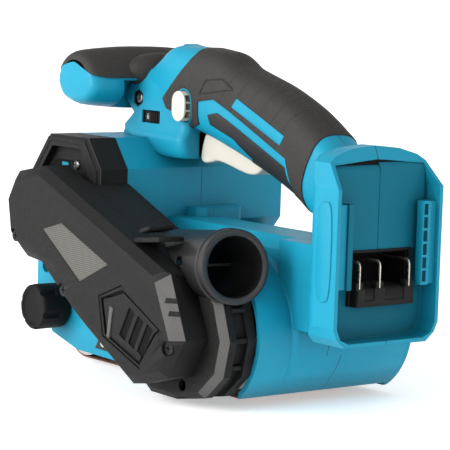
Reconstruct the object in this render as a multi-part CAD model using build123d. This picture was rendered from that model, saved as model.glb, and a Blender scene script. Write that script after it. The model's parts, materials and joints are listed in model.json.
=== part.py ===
"""Cordless belt sander, built as the separate pieces it comes apart into.

Frame: +X to the front of the tool, +Y to its left, +Z up.  The origin is the centre of the
sanding surface, so the belt's underside lies in the plane z = 0.  Millimetres.
"""

from build123d import *
import math
import os

# ---------------------------------------------------------------- driving dimensions
BELT_WIDTH = 76.0
BELT_LENGTH = 457.0
BELT_THICK = 1.0
ROLLER_R = 22.0
ROLLER_GAP = 0.3
AXLE_Z = BELT_THICK + ROLLER_GAP + ROLLER_R
BELT_INNER_R = ROLLER_R + ROLLER_GAP
WHEELBASE = BELT_LENGTH / 2 - math.pi * (BELT_INNER_R + BELT_THICK / 2)
REAR_X = -WHEELBASE / 2
FRONT_X = WHEELBASE / 2

WALL = 3.0
BODY_RIGHT = -55.8          # right end of the drum hood
BODY_LEFT = 57.7            # left side panel
HOOD_X, HOOD_Z, HOOD_R = -80.5, 43.0, 46.0
HOOD_LEFT = 60.7
HOUSING_FLOOR = 4.3

MOTOR_X, MOTOR_Z = 48.0, 102.0
MOTOR_R = 26.0
MOTOR_RIGHT, CAP_JOINT, CAP_LEFT = -64.8, 56.6, 78.9
POCKET_Y = (-13.0, 30.0)    # terminal pocket in the battery mount
CASE_LEFT = 84.0            # outer wall of the gear case, where the cover sits
COVER_LEFT = 106.0

HANDLE_Y = 11.0             # middle plane of handle, bar and battery mount
HANDLE_W = 35.0
BAR_X, BAR_Z, BAR_HALF = 64.0, 181.0, 50.5
WAIST_HALF = 29.5           # half length of the bar's waist around the neck
MOUNT_X, MOUNT_W, MOUNT_DEPTH = -177.0, 78.0, 27.0
MOUNT_LOW, MOUNT_SIDE, MOUNT_TOP = 44.5, 132.6, 155.0
RECESS_DEPTH = 13.0

GEAR_MODULE = 1.0
PINION_TEETH, GEAR_TEETH = 12, 33
GEAR_CENTRES = GEAR_MODULE * (PINION_TEETH + GEAR_TEETH) / 2
IDLER_X = -66.0
IDLER_Z = AXLE_Z + math.sqrt(GEAR_CENTRES ** 2 - (IDLER_X - REAR_X) ** 2)
BELT_PITCH = 3.0
MOTOR_PULLEY_TEETH, IDLER_PULLEY_TEETH = 18, 40
MOTOR_PULLEY_R = BELT_PITCH * MOTOR_PULLEY_TEETH / (2 * math.pi)
IDLER_PULLEY_R = BELT_PITCH * IDLER_PULLEY_TEETH / (2 * math.pi)
RUNNING = 0.05              # radial clearance of shafts in their bearings

TRACK_X, TRACK_Z = 81.0, 35.0
LEVER_X, LEVER_Y = 46.0, -42.0
DIAL_X, DIAL_Y, DIAL_Z, DIAL_R = 28.5, 14.0, 158.5, 15.5
NECK_REAR = -8.0            # rear face of the neck, just in front of the trigger
LOCK_X, LOCK_Z = -6.8, 167.3
TRIGGER_X, TRIGGER_Z = -68.0, 141.0
RUBBER = 1.2                # thickness of the moulded-on grip rubber
COVER_SCREWS = [(62, 84), (8, 57), (-99, 38)]
HOUSING_SCREWS = [(42.5, 170.0, 27.3), (-134.0, 122.0, 27.5), (98.0, 58.0, 57.7)]

SPOUT_MOUTH = (-120.0, 75.0, 85.0)
SPOUT_YAW, SPOUT_PITCH = 10.0, 6.0
SPOUT_OD, SPOUT_ID, SPOUT_LENGTH = 41.0, 35.0, 84.0

PARTS = "parts"


# ---------------------------------------------------------------- small helpers
def box(x0, x1, y0, y1, z0, z1):
    """Axis-aligned box from its limits."""
    size = (x1 - x0, y1 - y0, z1 - z0)
    return Pos((x0 + x1) / 2, (y0 + y1) / 2, (z0 + z1) / 2) * Box(*size)


def cyl(direction, x, y, z, radius, length):
    """Cylinder that starts at a point and runs along a direction."""
    plane = Plane(origin=(x, y, z), z_dir=direction)
    return Solid.make_cylinder(radius, length, plane)


def cyl_y(x, z, radius, y0, y1):
    """Cylinder along Y between two planes."""
    return cyl((0, 1, 0), x, y0, z, radius, y1 - y0)


def prism_y(points, y0, y1):
    """Side-view outline (x, z) carried along Y."""
    outline = Polyline(*[(x, y0, z) for x, z in points], close=True)
    return extrude(make_face(outline), amount=y1 - y0, dir=(0, 1, 0))


def prism_x(points, x0, x1):
    """Front-view outline (y, z) carried along X."""
    outline = Polyline(*[(x0, y, z) for y, z in points], close=True)
    return extrude(make_face(outline), amount=x1 - x0, dir=(1, 0, 0))


def ring_y(x, z, outer, inner, y0, y1):
    """Ring or bush along Y."""
    return cyl_y(x, z, outer, y0, y1) - cyl_y(x, z, inner, y0 - 1, y1 + 1)


def stadium_y(x0, z0, r0, x1, z1, r1, y0, y1):
    """Solid whose outline wraps two circles of different radius, along Y."""
    gap_x, gap_z = x1 - x0, z1 - z0
    span = math.hypot(gap_x, gap_z)
    lean = math.atan2(gap_z, gap_x)
    spread = math.acos((r0 - r1) / span)
    corners = []
    for sign in (1, -1):
        angle = lean + sign * spread
        pair = [(x0 + r0 * math.cos(angle), z0 + r0 * math.sin(angle)),
                (x1 + r1 * math.cos(angle), z1 + r1 * math.sin(angle))]
        corners += pair if sign == 1 else pair[::-1]
    bridge = prism_y(corners, y0, y1)
    return bridge + cyl_y(x0, z0, r0, y0, y1) + cyl_y(x1, z1, r1, y0, y1)


def edges_along(shape, axis, low=None, high=None):
    """Straight edges parallel to an axis, optionally within a box on their centre."""
    chosen = shape.edges().filter_by(axis)
    if low is None:
        return chosen
    inside = []
    for edge in chosen:
        c = edge.center()
        if all(a <= v <= b for a, v, b in zip(low, (c.X, c.Y, c.Z), high)):
            inside.append(edge)
    return ShapeList(inside)


def save(name, *shapes):
    """Write one node."""
    solids = [solid for shape in shapes for solid in shape.solids()]
    shape = solids[0] if len(solids) == 1 else Compound(children=solids)
    shape.label = name
    export_step(shape, f"{PARTS}/{name}.step")


# ---------------------------------------------------------------- outlines, side view (x, z)
MOTOR_OUTLINE = [(26.2, 146), (67.0, 146), (88.0, 119.4), (88.0, 70), (24, 70), (24, 84.2),
                 (20.9, 84.2), (12.0, 94.2), (12.0, 127.9)]
MOTOR_CAVITY = [(27.8, 143), (65.5, 143), (85.0, 118.3), (85.0, 73), (24, 73), (24, 87.2),
                (22.3, 87.2), (15.0, 95.4), (15.0, 126.8)]
LOWER_OUTLINE = [(HOOD_X, 89), (-20, 89), (24, 84.2), (24, 84), (88, 84), (96, 74), (107.8, 62),
                 (107.8, 43), (89.1, 16.7), (60, 9.3), (21, 8.7), (HOOD_X, HOUSING_FLOOR)]
LOWER_CAVITY = [(HOOD_X, 52), (104.8, 52), (104.8, -5), (HOOD_X, -5)]
HANDLE_STATIONS = [(-150, 147, 92), (-126.7, 160.1, 109), (-112, 168.5, 119), (-99, 175.5, 124),
                   (-80, 183, 131.4), (-52, 191.5, 140), (-42, 195.5, 143), (-33, 200.6, 145.8),
                   (-14, 202.8, 151.5), (3, 203.9, 152), (12, 205.6, 152), (21, 201, 152),
                   (39, 189, 152), (54, 183, 160)]
NECK_OUTLINE = [(NECK_REAR, 166), (48, 166), (53, 176), (57, 169.6), (46, 160.2),
                (55.7, 152.5), (62, 142), (22, 142), (14, 139), (NECK_REAR, 136.5)]
BAR_OUTLINE = [(42, 176), (46, 189), (57, 197), (72, 197), (83, 188.5), (86, 177), (80, 168),
               (66, 163.5), (50, 166)]
CASE_OUTLINE = [(11, 119), (24, 122), (60, 120), (70, 105), (66, 86), (52, 76), (36, 74),
                (-5, 46), (-36, 14), (-50.8, 3.3), (-76.5, 3), (-103, 7.8), (-119, 22),
                (-124, 43), (-116, 66), (-98, 78)]
COVER_OUTLINE = [(36, 129), (64, 123.5), (74, 106.7), (69.5, 83), (53, 72), (37, 70.5),
                 (-5, 42), (-62, 11.5), (-74, 13.5), (-96, 20), (-109, 43), (-93, 79)]


# ---------------------------------------------------------------- housing halves
def motor_housing():
    return prism_y(MOTOR_OUTLINE, MOTOR_RIGHT, CAP_JOINT)


def drum_hood():
    """Round hood over the drive drum, flat underneath."""
    hood = cyl_y(HOOD_X, HOOD_Z, HOOD_R, BODY_RIGHT, HOOD_LEFT)
    return hood - box(-200, 200, -100, 100, -50, HOUSING_FLOOR)


def lower_body():
    return prism_y(LOWER_OUTLINE, BODY_RIGHT, BODY_LEFT)


def top_fairing():
    """Low duct on top of the hood, between the battery mount and the motor housing."""
    duct = box(-160, 14, HANDLE_Y - 22, HANDLE_Y + 20, 60, 98)
    duct = chamfer(edges_along(duct, Axis.X, (-200, -50, 90), (50, 50, 99)), 7)
    block = box(-2, 14, -25, 10, 80, 103.5)
    return duct + chamfer(edges_along(block, Axis.Z, (-3, -26, 0), (-1, 11, 200)), 5)


def mount_outline(inset):
    """Rear view of the battery mount's rim, arched on top; inset makes the recess."""
    half = MOUNT_W / 2 - inset
    right = [(18, 153.4 - 3 * inset), (30, 150 - 2 * inset), (half - 3.5, 146.5 - 0.6 * inset),
             (half, MOUNT_SIDE), (half, MOUNT_LOW + 11), (half - 2.8, MOUNT_LOW + 5),
             (half - 9, MOUNT_LOW + inset)]
    top = (0, MOUNT_TOP - 3 * inset)
    ring = [top] + right + [(-y, z) for y, z in right[::-1]]
    return [(HANDLE_Y + y, z) for y, z in ring]


def battery_mount():
    mount = prism_x(mount_outline(0), MOUNT_X, MOUNT_X + MOUNT_DEPTH)
    lip = [(MOUNT_X - 1, MOUNT_SIDE - 1.1), (MOUNT_X + 12, 146.5), (MOUNT_X + 16, 156),
           (MOUNT_X - 1, 156)]
    mount -= prism_y(lip, -60, 80)
    front_edges = [e for e in mount.edges().filter_by(Axis.Z)
                   if e.center().X > MOUNT_X + MOUNT_DEPTH - 1]
    mount = fillet(front_edges, 9)
    back = box(-152, -112, HANDLE_Y - 27, HANDLE_Y + 26, 48, 98)
    return mount + back


def handle_section(x, top, bottom, grow):
    """Twelve-sided cross-section of the handle at one station."""
    half = HANDLE_W / 2 + grow
    top, bottom = top + grow, bottom - grow
    height = top - bottom
    right = [(0.3, 0.0), (0.72, 0.1), (1.0, 0.3)]
    upper = [(half * share, top - drop * height) for share, drop in right]
    lower = [(half * share, bottom + 0.8 * drop * height) for share, drop in right]
    side = upper + lower[::-1]
    ring = side + [(-y, z) for y, z in side[::-1]]
    return make_face(Polyline(*[(x, HANDLE_Y + y, z) for y, z in ring], close=True))


def handle_arch(grow):
    sections = [handle_section(*station, grow) for station in HANDLE_STATIONS]
    return loft(sections, ruled=True)


def handle_core():
    """Arched handle and the neck that stands on the motor housing."""
    handle = handle_arch(-RUBBER)
    half = HANDLE_W / 2 - RUBBER
    neck = prism_y(NECK_OUTLINE, HANDLE_Y - half, HANDLE_Y + half)
    rear = edges_along(neck, Axis.Z, (NECK_REAR - 1, -50, 130), (NECK_REAR + 1, 80, 170))
    return handle + chamfer(rear, 6)


def grip_rubber(side):
    """Moulded-on rubber on one half of the handle, clear of collar and trigger."""
    skin = handle_arch(0) - handle_arch(-RUBBER)
    reach = prism_y([(-137, 90), (-137, 215), (-4, 215), (-16, 196), (-16, 180), (-22, 156),
                     (-78, 141), (-86, 90)], *((HANDLE_Y, 60) if side == "left" else (-60, HANDLE_Y)))
    skin &= reach
    # Cross grooves on top.
    for step in range(6):
        x = -118 + 9 * step
        skin -= box(x, x + 1.2, -20, 40, 0, 215) & (handle_arch(1) - handle_arch(-0.5))
    return skin


def bar_loft(grow_all):
    sections = []
    for y, swell in ((-BAR_HALF, -2.5), (5 - BAR_HALF, 0.4), (-16, 2.6), (16, 2.6),
                    (BAR_HALF - 5, 0.4), (BAR_HALF, -2.5)):
        grow = swell + grow_all
        ring = [(x + grow * (x - BAR_X) / 22, HANDLE_Y + y, z + grow * (z - BAR_Z) / 18)
                for x, z in BAR_OUTLINE]
        sections.append(make_face(Polyline(*ring, close=True)))
    return loft(sections, ruled=True)


def bar_waist():
    """Hollow under and behind the bar on both sides of the neck."""
    outline = [(25, 150), (55, 150), (57.5, 158), (57.5, 172.5), (53, 180), (25, 180)]
    return prism_y(outline, HANDLE_Y - WAIST_HALF, HANDLE_Y + WAIST_HALF)


def front_bar():
    """Cross-wise front handle; its core stands back under the rubber."""
    return bar_loft(-RUBBER) - bar_waist()


def front_grip_rubber():
    """Rubber on the top and front of the cross-wise handle."""
    skin = bar_loft(0) - bar_loft(-RUBBER) - bar_waist()
    reach = box(30, 100, HANDLE_Y - BAR_HALF + 3, HANDLE_Y + BAR_HALF - 3, 177, 210)
    return (skin & reach) - handle_core()


def housing():
    """Both blue halves as one shell, before they are parted."""
    shell = motor_housing() + lower_body() + drum_hood() + top_fairing()
    shell += battery_mount() + handle_core() + front_bar()

    # Space for motor, drum, belt and the sole frame.
    shell -= prism_y(MOTOR_CAVITY, MOTOR_RIGHT + WALL, CAP_JOINT + 1)
    shell -= prism_y([(26, 75), (86, 75), (93, 71), (102, 60), (102, 55), (-30, 55), (-30, 82),
                      (22, 80)], BODY_RIGHT + WALL, BODY_LEFT - WALL)
    shell -= cyl_y(HOOD_X, HOOD_Z, HOOD_R - WALL, BODY_RIGHT + WALL, HOOD_LEFT + 1)
    shell -= box(HOOD_X - 28, HOOD_X + 30, BODY_RIGHT + WALL, HOOD_LEFT + 1, -5, 20)
    shell -= prism_y(LOWER_CAVITY, BODY_RIGHT + WALL, BODY_LEFT - WALL)
    # The belt leaves sideways on the right, in front of the hood.
    shell -= box(-36, 120, BODY_RIGHT - 1, BODY_RIGHT + WALL + 14, -5, 52)
    # Rings that hold the motor, and bosses for the bearings on the right wall.
    for y in (-5, 40):
        shell += prism_y(MOTOR_CAVITY, y, y + 3) - cyl_y(MOTOR_X, MOTOR_Z, MOTOR_R, y - 1, y + 4)
    shell += ring_y(MOTOR_X, MOTOR_Z, 14, 11, MOTOR_RIGHT + WALL, -52)
    shell += ring_y(REAR_X, AXLE_Z, 13, 9.5, BODY_RIGHT + WALL, -43)

    # Battery recess with its terminal pocket, and the rails beside it.
    shell -= prism_x(mount_outline(2.4), MOUNT_X - 1, MOUNT_X + RECESS_DEPTH)
    for side in (-1, 1):
        y0, y1 = sorted((HANDLE_Y + side * 26, HANDLE_Y + side * (MOUNT_W / 2 - 2.4)))
        rail = box(MOUNT_X + 3, MOUNT_X + RECESS_DEPTH, y0, y1, 77, 124)
        y0, y1 = sorted((HANDLE_Y + side * 25, HANDLE_Y + side * 31))
        shell += rail - box(MOUNT_X + 7, MOUNT_X + RECESS_DEPTH, y0, y1, 76, 125)
    shell -= box(MOUNT_X + RECESS_DEPTH - 1, -128, POCKET_Y[0], POCKET_Y[1], 66, 96)

    # Handle pockets: wiring, switch, trigger, lock button, speed dial.
    shell -= prism_y([(-150, 92), (-150, 136), (-138, 140), (-118, 150), (-77, 168), (-77, 153),
                      (-112, 131), (-134, 112), (-140, 92)], HANDLE_Y - 6, HANDLE_Y + 6)
    shell -= box(-78, -26, HANDLE_Y - 12, HANDLE_Y + 12, 153, 171)
    shell -= prism_y([(-76, 125), (-76, 153.5), (-27, 153.5), (-27, 158), (NECK_REAR, 158),
                      (NECK_REAR, 125)], HANDLE_Y - 7, HANDLE_Y + 7)
    shell -= box(-27, 36, HANDLE_Y - 12, HANDLE_Y + 12, 154, 178)
    shell -= prism_y(lock_outline(0.5), HANDLE_Y - 30, HANDLE_Y + 30)
    shell -= cyl((0, 0, 1), DIAL_X, DIAL_Y, DIAL_Z - 4.2, DIAL_R + 0.5, 8.4)
    shell -= cyl_y(TRIGGER_X, TRIGGER_Z, 1.5, HANDLE_Y - 9, HANDLE_Y + 9)
    # Both ends of the front bar are hollow.
    hollow = [(50, 177), (53, 187), (60, 192), (71, 191.5), (78, 185), (79, 178), (74, 172),
              (65, 169.5), (54, 171)]
    for side in (-1, 1):
        y0, y1 = sorted((HANDLE_Y + side * (WAIST_HALF + 3), HANDLE_Y + side * 43))
        shell -= prism_y(hollow, y0, y1)
    # Openings for the dust spout and the tracking screw.
    shell -= spout_space()
    shell -= cyl_y(TRACK_X, TRACK_Z, 4, 50, 60)
    # Screw bosses: clearance on the left, thread on the right.
    for x, z, face in HOUSING_SCREWS:
        shell += cyl_y(x, z, 6, -4, 20)
        shell -= cyl_y(x, z, 4.2, face - 6, 90)
        shell -= cyl_y(x, z, 2.0, face - 26, face)
    return shell


def lock_outline(grow):
    """Pill-shaped outline of the lock button, (x, z)."""
    half_w, half_h = 6.4 + grow, 9.2 + grow
    arc = half_w
    points = []
    for step in range(13):
        angle = math.pi * step / 12
        points.append((LOCK_X + arc * math.cos(angle), LOCK_Z + half_h - arc
                       + arc * math.sin(angle)))
    for step in range(13):
        angle = math.pi + math.pi * step / 12
        points.append((LOCK_X + arc * math.cos(angle), LOCK_Z - half_h + arc
                       + arc * math.sin(angle)))
    return points


def split_housing(shell):
    """Handle and mount part on their own middle plane, the body on the sole's."""
    step = box(-200, 200, 0, HANDLE_Y, 146, 260) + box(-200, -127, 0, HANDLE_Y, 0, 150)
    step += box(-128, -14, 0, HANDLE_Y, 99, 150)
    left_space = box(-300, 300, 0, 200, -50, 300) - step
    right_space = box(-300, 300, -200, 0, -50, 300) + step
    return shell & left_space, shell & right_space


# ---------------------------------------------------------------- dust spout
def spout_rod(radius, length, beyond=0.0):
    """Rod on the spout's axis; beyond carries it past the mouth."""
    yaw, pitch = math.radians(SPOUT_YAW), math.radians(SPOUT_PITCH)
    flat = math.cos(pitch)
    inward = (flat * math.cos(yaw), -flat * math.sin(yaw), -math.sin(pitch))
    start = [m - beyond * d for m, d in zip(SPOUT_MOUTH, inward)]
    return cyl(inward, *start, radius, length + beyond)


def spout_space():
    """Room that the housing, case and cover leave for the spout."""
    return (spout_rod(SPOUT_OD / 2 + 0.2, SPOUT_LENGTH + 0.5, 2)
            + spout_rod(SPOUT_OD / 2 + 1.2, 6, 2))


def dust_spout():
    tube = spout_rod(SPOUT_OD / 2, SPOUT_LENGTH)
    bead = spout_rod(SPOUT_OD / 2 + 0.9, 5)
    tube = tube + bead - spout_rod(SPOUT_ID / 2, SPOUT_LENGTH + 2, 1)
    return tube - cyl((0, 1, 0), SPOUT_MOUTH[0] + 33, SPOUT_MOUTH[1] - 6, SPOUT_MOUTH[2] - 1,
                      4.2, 40)


# ---------------------------------------------------------------- gear case and covers
def case_shaft_holes(y0, y1):
    return (cyl_y(IDLER_X, IDLER_Z, 8.0, y0, y1) + cyl_y(MOTOR_X, MOTOR_Z, 8.0, y0, y1))


def motor_end_cap():
    """Black cap that closes the left end of the motor housing."""
    outline = [(26.2, 146), (67.0, 146), (88.0, 119.4), (88.0, 86), (60, 86), (24, 86),
               (20.9, 86), (12.0, 94.2), (12.0, 127.9)]
    cap = prism_y(outline, CAP_JOINT, CAP_LEFT)
    rim = [e for e in cap.edges() if abs(e.center().Y - CAP_LEFT) < 0.01 and e.center().Z > 100]
    cap = chamfer(ShapeList(rim), 2)
    face = [(31, 139), (62, 139), (79, 118.5), (79, 96), (24, 96), (20, 118)]
    cap -= prism_y(face, CAP_LEFT - 5, CAP_LEFT + 1)
    cap -= prism_y([(29, 141), (64, 141), (83, 118), (83, 90), (24, 90), (17, 100), (17, 125)],
                   CAP_JOINT - 1, CAP_LEFT - 8)
    return cap - cyl_y(MOTOR_X, MOTOR_Z, 11.05, CAP_JOINT - 2, CAP_LEFT + 2)


def gear_case():
    """Black case on the left of the hood; it carries the idler shaft and the drum's end."""
    case = prism_y(CASE_OUTLINE, HOOD_LEFT, CASE_LEFT)
    upper = prism_y([(11, 119), (12.0, 94.2), (20.9, 84.2), (24, 84.2), (24, 60), (-40, 60),
                     (-44, 96.5)], CAP_JOINT, HOOD_LEFT)
    case += upper - box(-200, 200, 50, HOOD_LEFT, 0, 89)
    case -= motor_end_cap_space()
    outer = [e for e in case.edges() if abs(e.center().Y - CASE_LEFT) < 0.01
             and (e.center().X < -80 or e.center().Z < 30)]
    case = chamfer(ShapeList(outer), 4)
    # Groove around the rear, just outside the hood's joint.
    groove = cyl_y(HOOD_X, HOOD_Z, 60, 67, 75) - cyl_y(HOOD_X, HOOD_Z, 39, 66, 76)
    groove &= box(-160, -84, 60, 80, 4, 90)
    case -= groove
    # Gear space, open towards the drum.
    case -= stadium_y(IDLER_X, IDLER_Z, 12.5, REAR_X, AXLE_Z, 19.0, HOOD_LEFT + WALL, 81)
    case -= cyl_y(REAR_X, AXLE_Z, 9, HOOD_LEFT - 1, HOOD_LEFT + WALL + 1)
    case -= case_shaft_holes(50, CASE_LEFT + 1)
    case -= spout_space()
    case -= cyl_y(-86, 13, 3.4, 60, 90)
    return case


def motor_end_cap_space():
    """Room for the end cap where it stands in the gear case."""
    return prism_y([(10, 150), (90, 150), (90, 85.9), (20.8, 85.9), (11.9, 94.2)],
                   CAP_JOINT - 1, CAP_LEFT + 0.02)


def drive_cover():
    """Angular cover over the toothed belt."""
    cover = prism_y(COVER_OUTLINE, CASE_LEFT, COVER_LEFT)
    rim = [e for e in cover.edges() if abs(e.center().Y - COVER_LEFT) < 0.01]
    cover = chamfer(ShapeList(rim), 5)
    cover -= stadium_y(IDLER_X, IDLER_Z, 22.6, MOTOR_X, MOTOR_Z, 12.8, CASE_LEFT - 1,
                       COVER_LEFT - WALL - 1)
    cover -= spout_space()
    # Seat for the name plate.
    seat = prism_y(plate_outline(), COVER_LEFT - 1.2, COVER_LEFT + 1)
    cover -= seat
    # Sunk field with three slanting vents at the rear.
    field = [(-31, 59), (-54, 68), (-95, 47), (-90, 43), (-74, 22), (-36, 36)]
    cover -= prism_y(field, COVER_LEFT - 2.0, COVER_LEFT + 1)
    for step in range(3):
        x = -57 - 9 * step
        slit = [(x, 37 - 3.5 * step), (x + 3.4, 38.5 - 3.5 * step),
                (x - 5.5, 55 - 3.5 * step), (x - 8.9, 53.5 - 3.5 * step)]
        cover -= prism_y(slit, COVER_LEFT - 5, COVER_LEFT + 1)
    for x, z in COVER_SCREWS:
        cover -= cyl_y(x, z, 2.05, CASE_LEFT - 1, COVER_LEFT + 1)
        cover -= cyl_y(x, z, 4.2, COVER_LEFT - 4, COVER_LEFT + 1)
    return cover


def plate_outline():
    return [(30, 91.4), (9.7, 97.1), (-39.6, 78.1), (-10.8, 64.5)]


def name_plate():
    return prism_y(plate_outline(), COVER_LEFT - 1.2, COVER_LEFT - 0.4)


def cover_screws():
    """Three cross-head screws that hold the cover to the gear case."""
    screws = []
    for x, z in COVER_SCREWS:
        head = cyl_y(x, z, 3.9, COVER_LEFT - 4, COVER_LEFT - 1.6)
        slot = box(x - 2.2, x + 2.2, COVER_LEFT - 2.8, COVER_LEFT - 1, z - 0.4, z + 0.4)
        cross = box(x - 0.4, x + 0.4, COVER_LEFT - 2.8, COVER_LEFT - 1, z - 2.2, z + 2.2)
        screws.append(head + cyl_y(x, z, 1.9, CASE_LEFT, COVER_LEFT - 3) - slot - cross)
    return screws


def side_label():
    """Blank safety plate on the lower left side."""
    return prism_y([(40, 13.5), (-2, 12), (-2, 26), (32, 26)], BODY_LEFT, BODY_LEFT + 0.4)


# ---------------------------------------------------------------- sole frame and belt
def sole_frame():
    """Cast frame: left plate, the bar that carries the platen, and its ears."""
    frame = box(-50, 96, 41, 46, 16, 50) + box(-40, 85, 41, 46, 50, 52)
    frame += box(-46, 50, -37, 41, 5, 43) - box(-43, 47, -34, 42, 12, 40)
    frame -= box(66, 90, 40, 47, AXLE_Z - 5.3, AXLE_Z + 5.3)
    # Ear at the rear for the drum's left bearing.
    frame += cyl_y(REAR_X, AXLE_Z, 13, 41, 47) + box(REAR_X, -49, 41, 46, 16, 36)
    frame -= cyl_y(REAR_X, AXLE_Z, 9.5, 40, 48)
    # Boss for the tracking screw.
    frame += cyl_y(TRACK_X, TRACK_Z, 5.5, 46, 52)
    frame -= cyl_y(TRACK_X, TRACK_Z, 2.5 + RUNNING, 40, 53)
    # Ears that hold the lever's pin.
    for z in (14, 30.3):
        ear = box(LEVER_X - 5, LEVER_X + 4, LEVER_Y - 4, -37, z, z + 3.7)
        frame += ear - cyl((0, 0, 1), LEVER_X, LEVER_Y, 0, 1.5, 60)
    return frame


def platen():
    """Sprung steel sheet under the frame, turned up at both ends."""
    sheet = box(-52, 54, -37, 37, 3.2, 4.2)
    return sheet + box(-46, 50, -37, 37, 4.2, 5)


def graphite_pad():
    return box(-52, 54, -37, 37, BELT_THICK, 3.2)


def sanding_belt():
    """Abrasive belt around drum and front roller."""
    half = BELT_WIDTH / 2
    outer = stadium_y(REAR_X, AXLE_Z, BELT_INNER_R + BELT_THICK, FRONT_X, AXLE_Z,
                      BELT_INNER_R + BELT_THICK, -half, half)
    inner = stadium_y(REAR_X, AXLE_Z, BELT_INNER_R, FRONT_X, AXLE_Z, BELT_INNER_R,
                      -half - 1, half + 1)
    return outer - inner


# ---------------------------------------------------------------- rear drum
def drum_core():
    core = cyl_y(REAR_X, AXLE_Z, 17.5, -39, 39)
    for side in (-1, 1):
        y0, y1 = (26, 40) if side > 0 else (-40, -26)
        core -= ring_y(REAR_X, AXLE_Z, 14.5, 9, y0, y1)
    return core - cyl_y(REAR_X, AXLE_Z, 6, -40, 40)


def drum_sleeve():
    """Rubber tyre on the drum, lightly grooved."""
    sleeve = ring_y(REAR_X, AXLE_Z, ROLLER_R, 17.5, -39, 39)
    for step in range(-3, 4):
        y = 10 * step
        sleeve -= ring_y(REAR_X, AXLE_Z, ROLLER_R + 1, ROLLER_R - 0.8, y - 0.6, y + 0.6)
    return sleeve


def drum_shaft():
    shaft = cyl_y(REAR_X, AXLE_Z, 6, -49, 67)
    return shaft + cyl_y(REAR_X, AXLE_Z, 5, 67, 78)


def bearing(x, z, bore, outer, y0, y1):
    """Shielded ball bearing: a ring with a sunk shield on both faces."""
    middle = (bore + outer) / 2
    body = ring_y(x, z, outer, bore + RUNNING, y0, y1)
    body -= ring_y(x, z, middle + 1.3, middle - 1.3, y0 - 1, y0 + 0.5)
    return body - ring_y(x, z, middle + 1.3, middle - 1.3, y1 - 0.5, y1 + 1)


def mesh_angle():
    """Direction from the drum's axis to the idler's."""
    return math.atan2(IDLER_Z - AXLE_Z, IDLER_X - REAR_X)


def drum_gear():
    gap = mesh_angle() + math.pi / GEAR_TEETH
    return spur_gear(REAR_X, AXLE_Z, GEAR_TEETH, GEAR_MODULE, 67, 75, 5, gap)


def pinion():
    facing = mesh_angle() + math.pi
    return spur_gear(IDLER_X, IDLER_Z, PINION_TEETH, GEAR_MODULE, 66, 76, 4, facing)


def spur_gear(x, z, teeth, module, y0, y1, bore, phase):
    """Spur gear with trapezoidal teeth."""
    root, tip = module * (teeth / 2 - 1.2), module * (teeth / 2 + 0.75)
    pitch_angle = 2 * math.pi / teeth
    points = []
    for tooth in range(teeth):
        middle = phase + tooth * pitch_angle
        for radius, share in ((root, -0.27), (tip, -0.10), (tip, 0.10), (root, 0.27)):
            angle = middle + share * pitch_angle
            points.append((x + radius * math.cos(angle), z + radius * math.sin(angle)))
    return prism_y(points, y0, y1) - cyl_y(x, z, bore, y0 - 1, y1 + 1)


# ---------------------------------------------------------------- belt drive
def pulley(x, z, radius, teeth, bore, y0, y1, flanges):
    """Toothed pulley between two flanges."""
    wheel = spur_gear(x, z, teeth, 2 * (radius - 0.4) / teeth * 0.985, y0, y1, bore, 0)
    for y in (y0 - 1.2, y1):
        if flanges:
            wheel += ring_y(x, z, radius + 2.0, bore, y, y + 1.2)
    return wheel


def motor_pulley():
    return pulley(MOTOR_X, MOTOR_Z, MOTOR_PULLEY_R, MOTOR_PULLEY_TEETH, 4, 88.5, 98.5, True)


def idler_pulley():
    wheel = pulley(IDLER_X, IDLER_Z, IDLER_PULLEY_R, IDLER_PULLEY_TEETH, 4, 88.5, 98.5, False)
    for y in (88, 96):
        wheel -= ring_y(IDLER_X, IDLER_Z, 15.5, 8, y, y + 3)
    return wheel


def idler_shaft():
    return cyl_y(IDLER_X, IDLER_Z, 4, 61.2, 99.5)


def toothed_belt():
    """Drive belt, lifted off the pulleys by a hair so that they can turn."""
    r0, r1 = MOTOR_PULLEY_R + 0.9, IDLER_PULLEY_R + 0.9
    outer = stadium_y(IDLER_X, IDLER_Z, r1 + 1.0, MOTOR_X, MOTOR_Z, r0 + 1.0, 89, 98)
    return outer - stadium_y(IDLER_X, IDLER_Z, r1, MOTOR_X, MOTOR_Z, r0, 88, 99)


# ---------------------------------------------------------------- motor
def motor_shaft():
    return cyl_y(MOTOR_X, MOTOR_Z, 4, -59.5, 99.5)


def motor_can():
    """Steel tube with a flange end on the left."""
    return ring_y(MOTOR_X, MOTOR_Z, MOTOR_R, MOTOR_R - 2, -12, 52)


def motor_magnets():
    """Two arc magnets inside the can."""
    ring = ring_y(MOTOR_X, MOTOR_Z, MOTOR_R - 2, MOTOR_R - 6, -6, 46)
    gap = box(MOTOR_X - 30, MOTOR_X + 30, -7, 47, MOTOR_Z - 5, MOTOR_Z + 5)
    return (ring - gap).solids()


def armature():
    """Laminated core with winding slots."""
    core = cyl_y(MOTOR_X, MOTOR_Z, MOTOR_R - 6.6, 0, 40)
    slots = 12
    for slot in range(slots):
        angle = 2 * math.pi * slot / slots
        x = MOTOR_X + (MOTOR_R - 9) * math.cos(angle)
        z = MOTOR_Z + (MOTOR_R - 9) * math.sin(angle)
        core -= cyl_y(x, z, 2.6, -1, 41)
    return core - cyl_y(MOTOR_X, MOTOR_Z, 4, -1, 41)


def windings():
    """Copper end turns on both ends of the core."""
    turns = []
    for y0, y1 in ((-7, 0), (40, 47)):
        turns.append(fillet(ring_y(MOTOR_X, MOTOR_Z, 17, 8, y0, y1).edges(), 2.4))
    return turns


def commutator():
    """Copper drum with the bars parted by slots."""
    drum = ring_y(MOTOR_X, MOTOR_Z, 9, 4, -26, -11)
    for bar in range(12):
        cut = box(8.2, 10, -27, -13, -0.3, 0.3).rotate(Axis.Y, 30 * bar)
        drum -= Pos(MOTOR_X, 0, MOTOR_Z) * cut
    return drum


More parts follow.
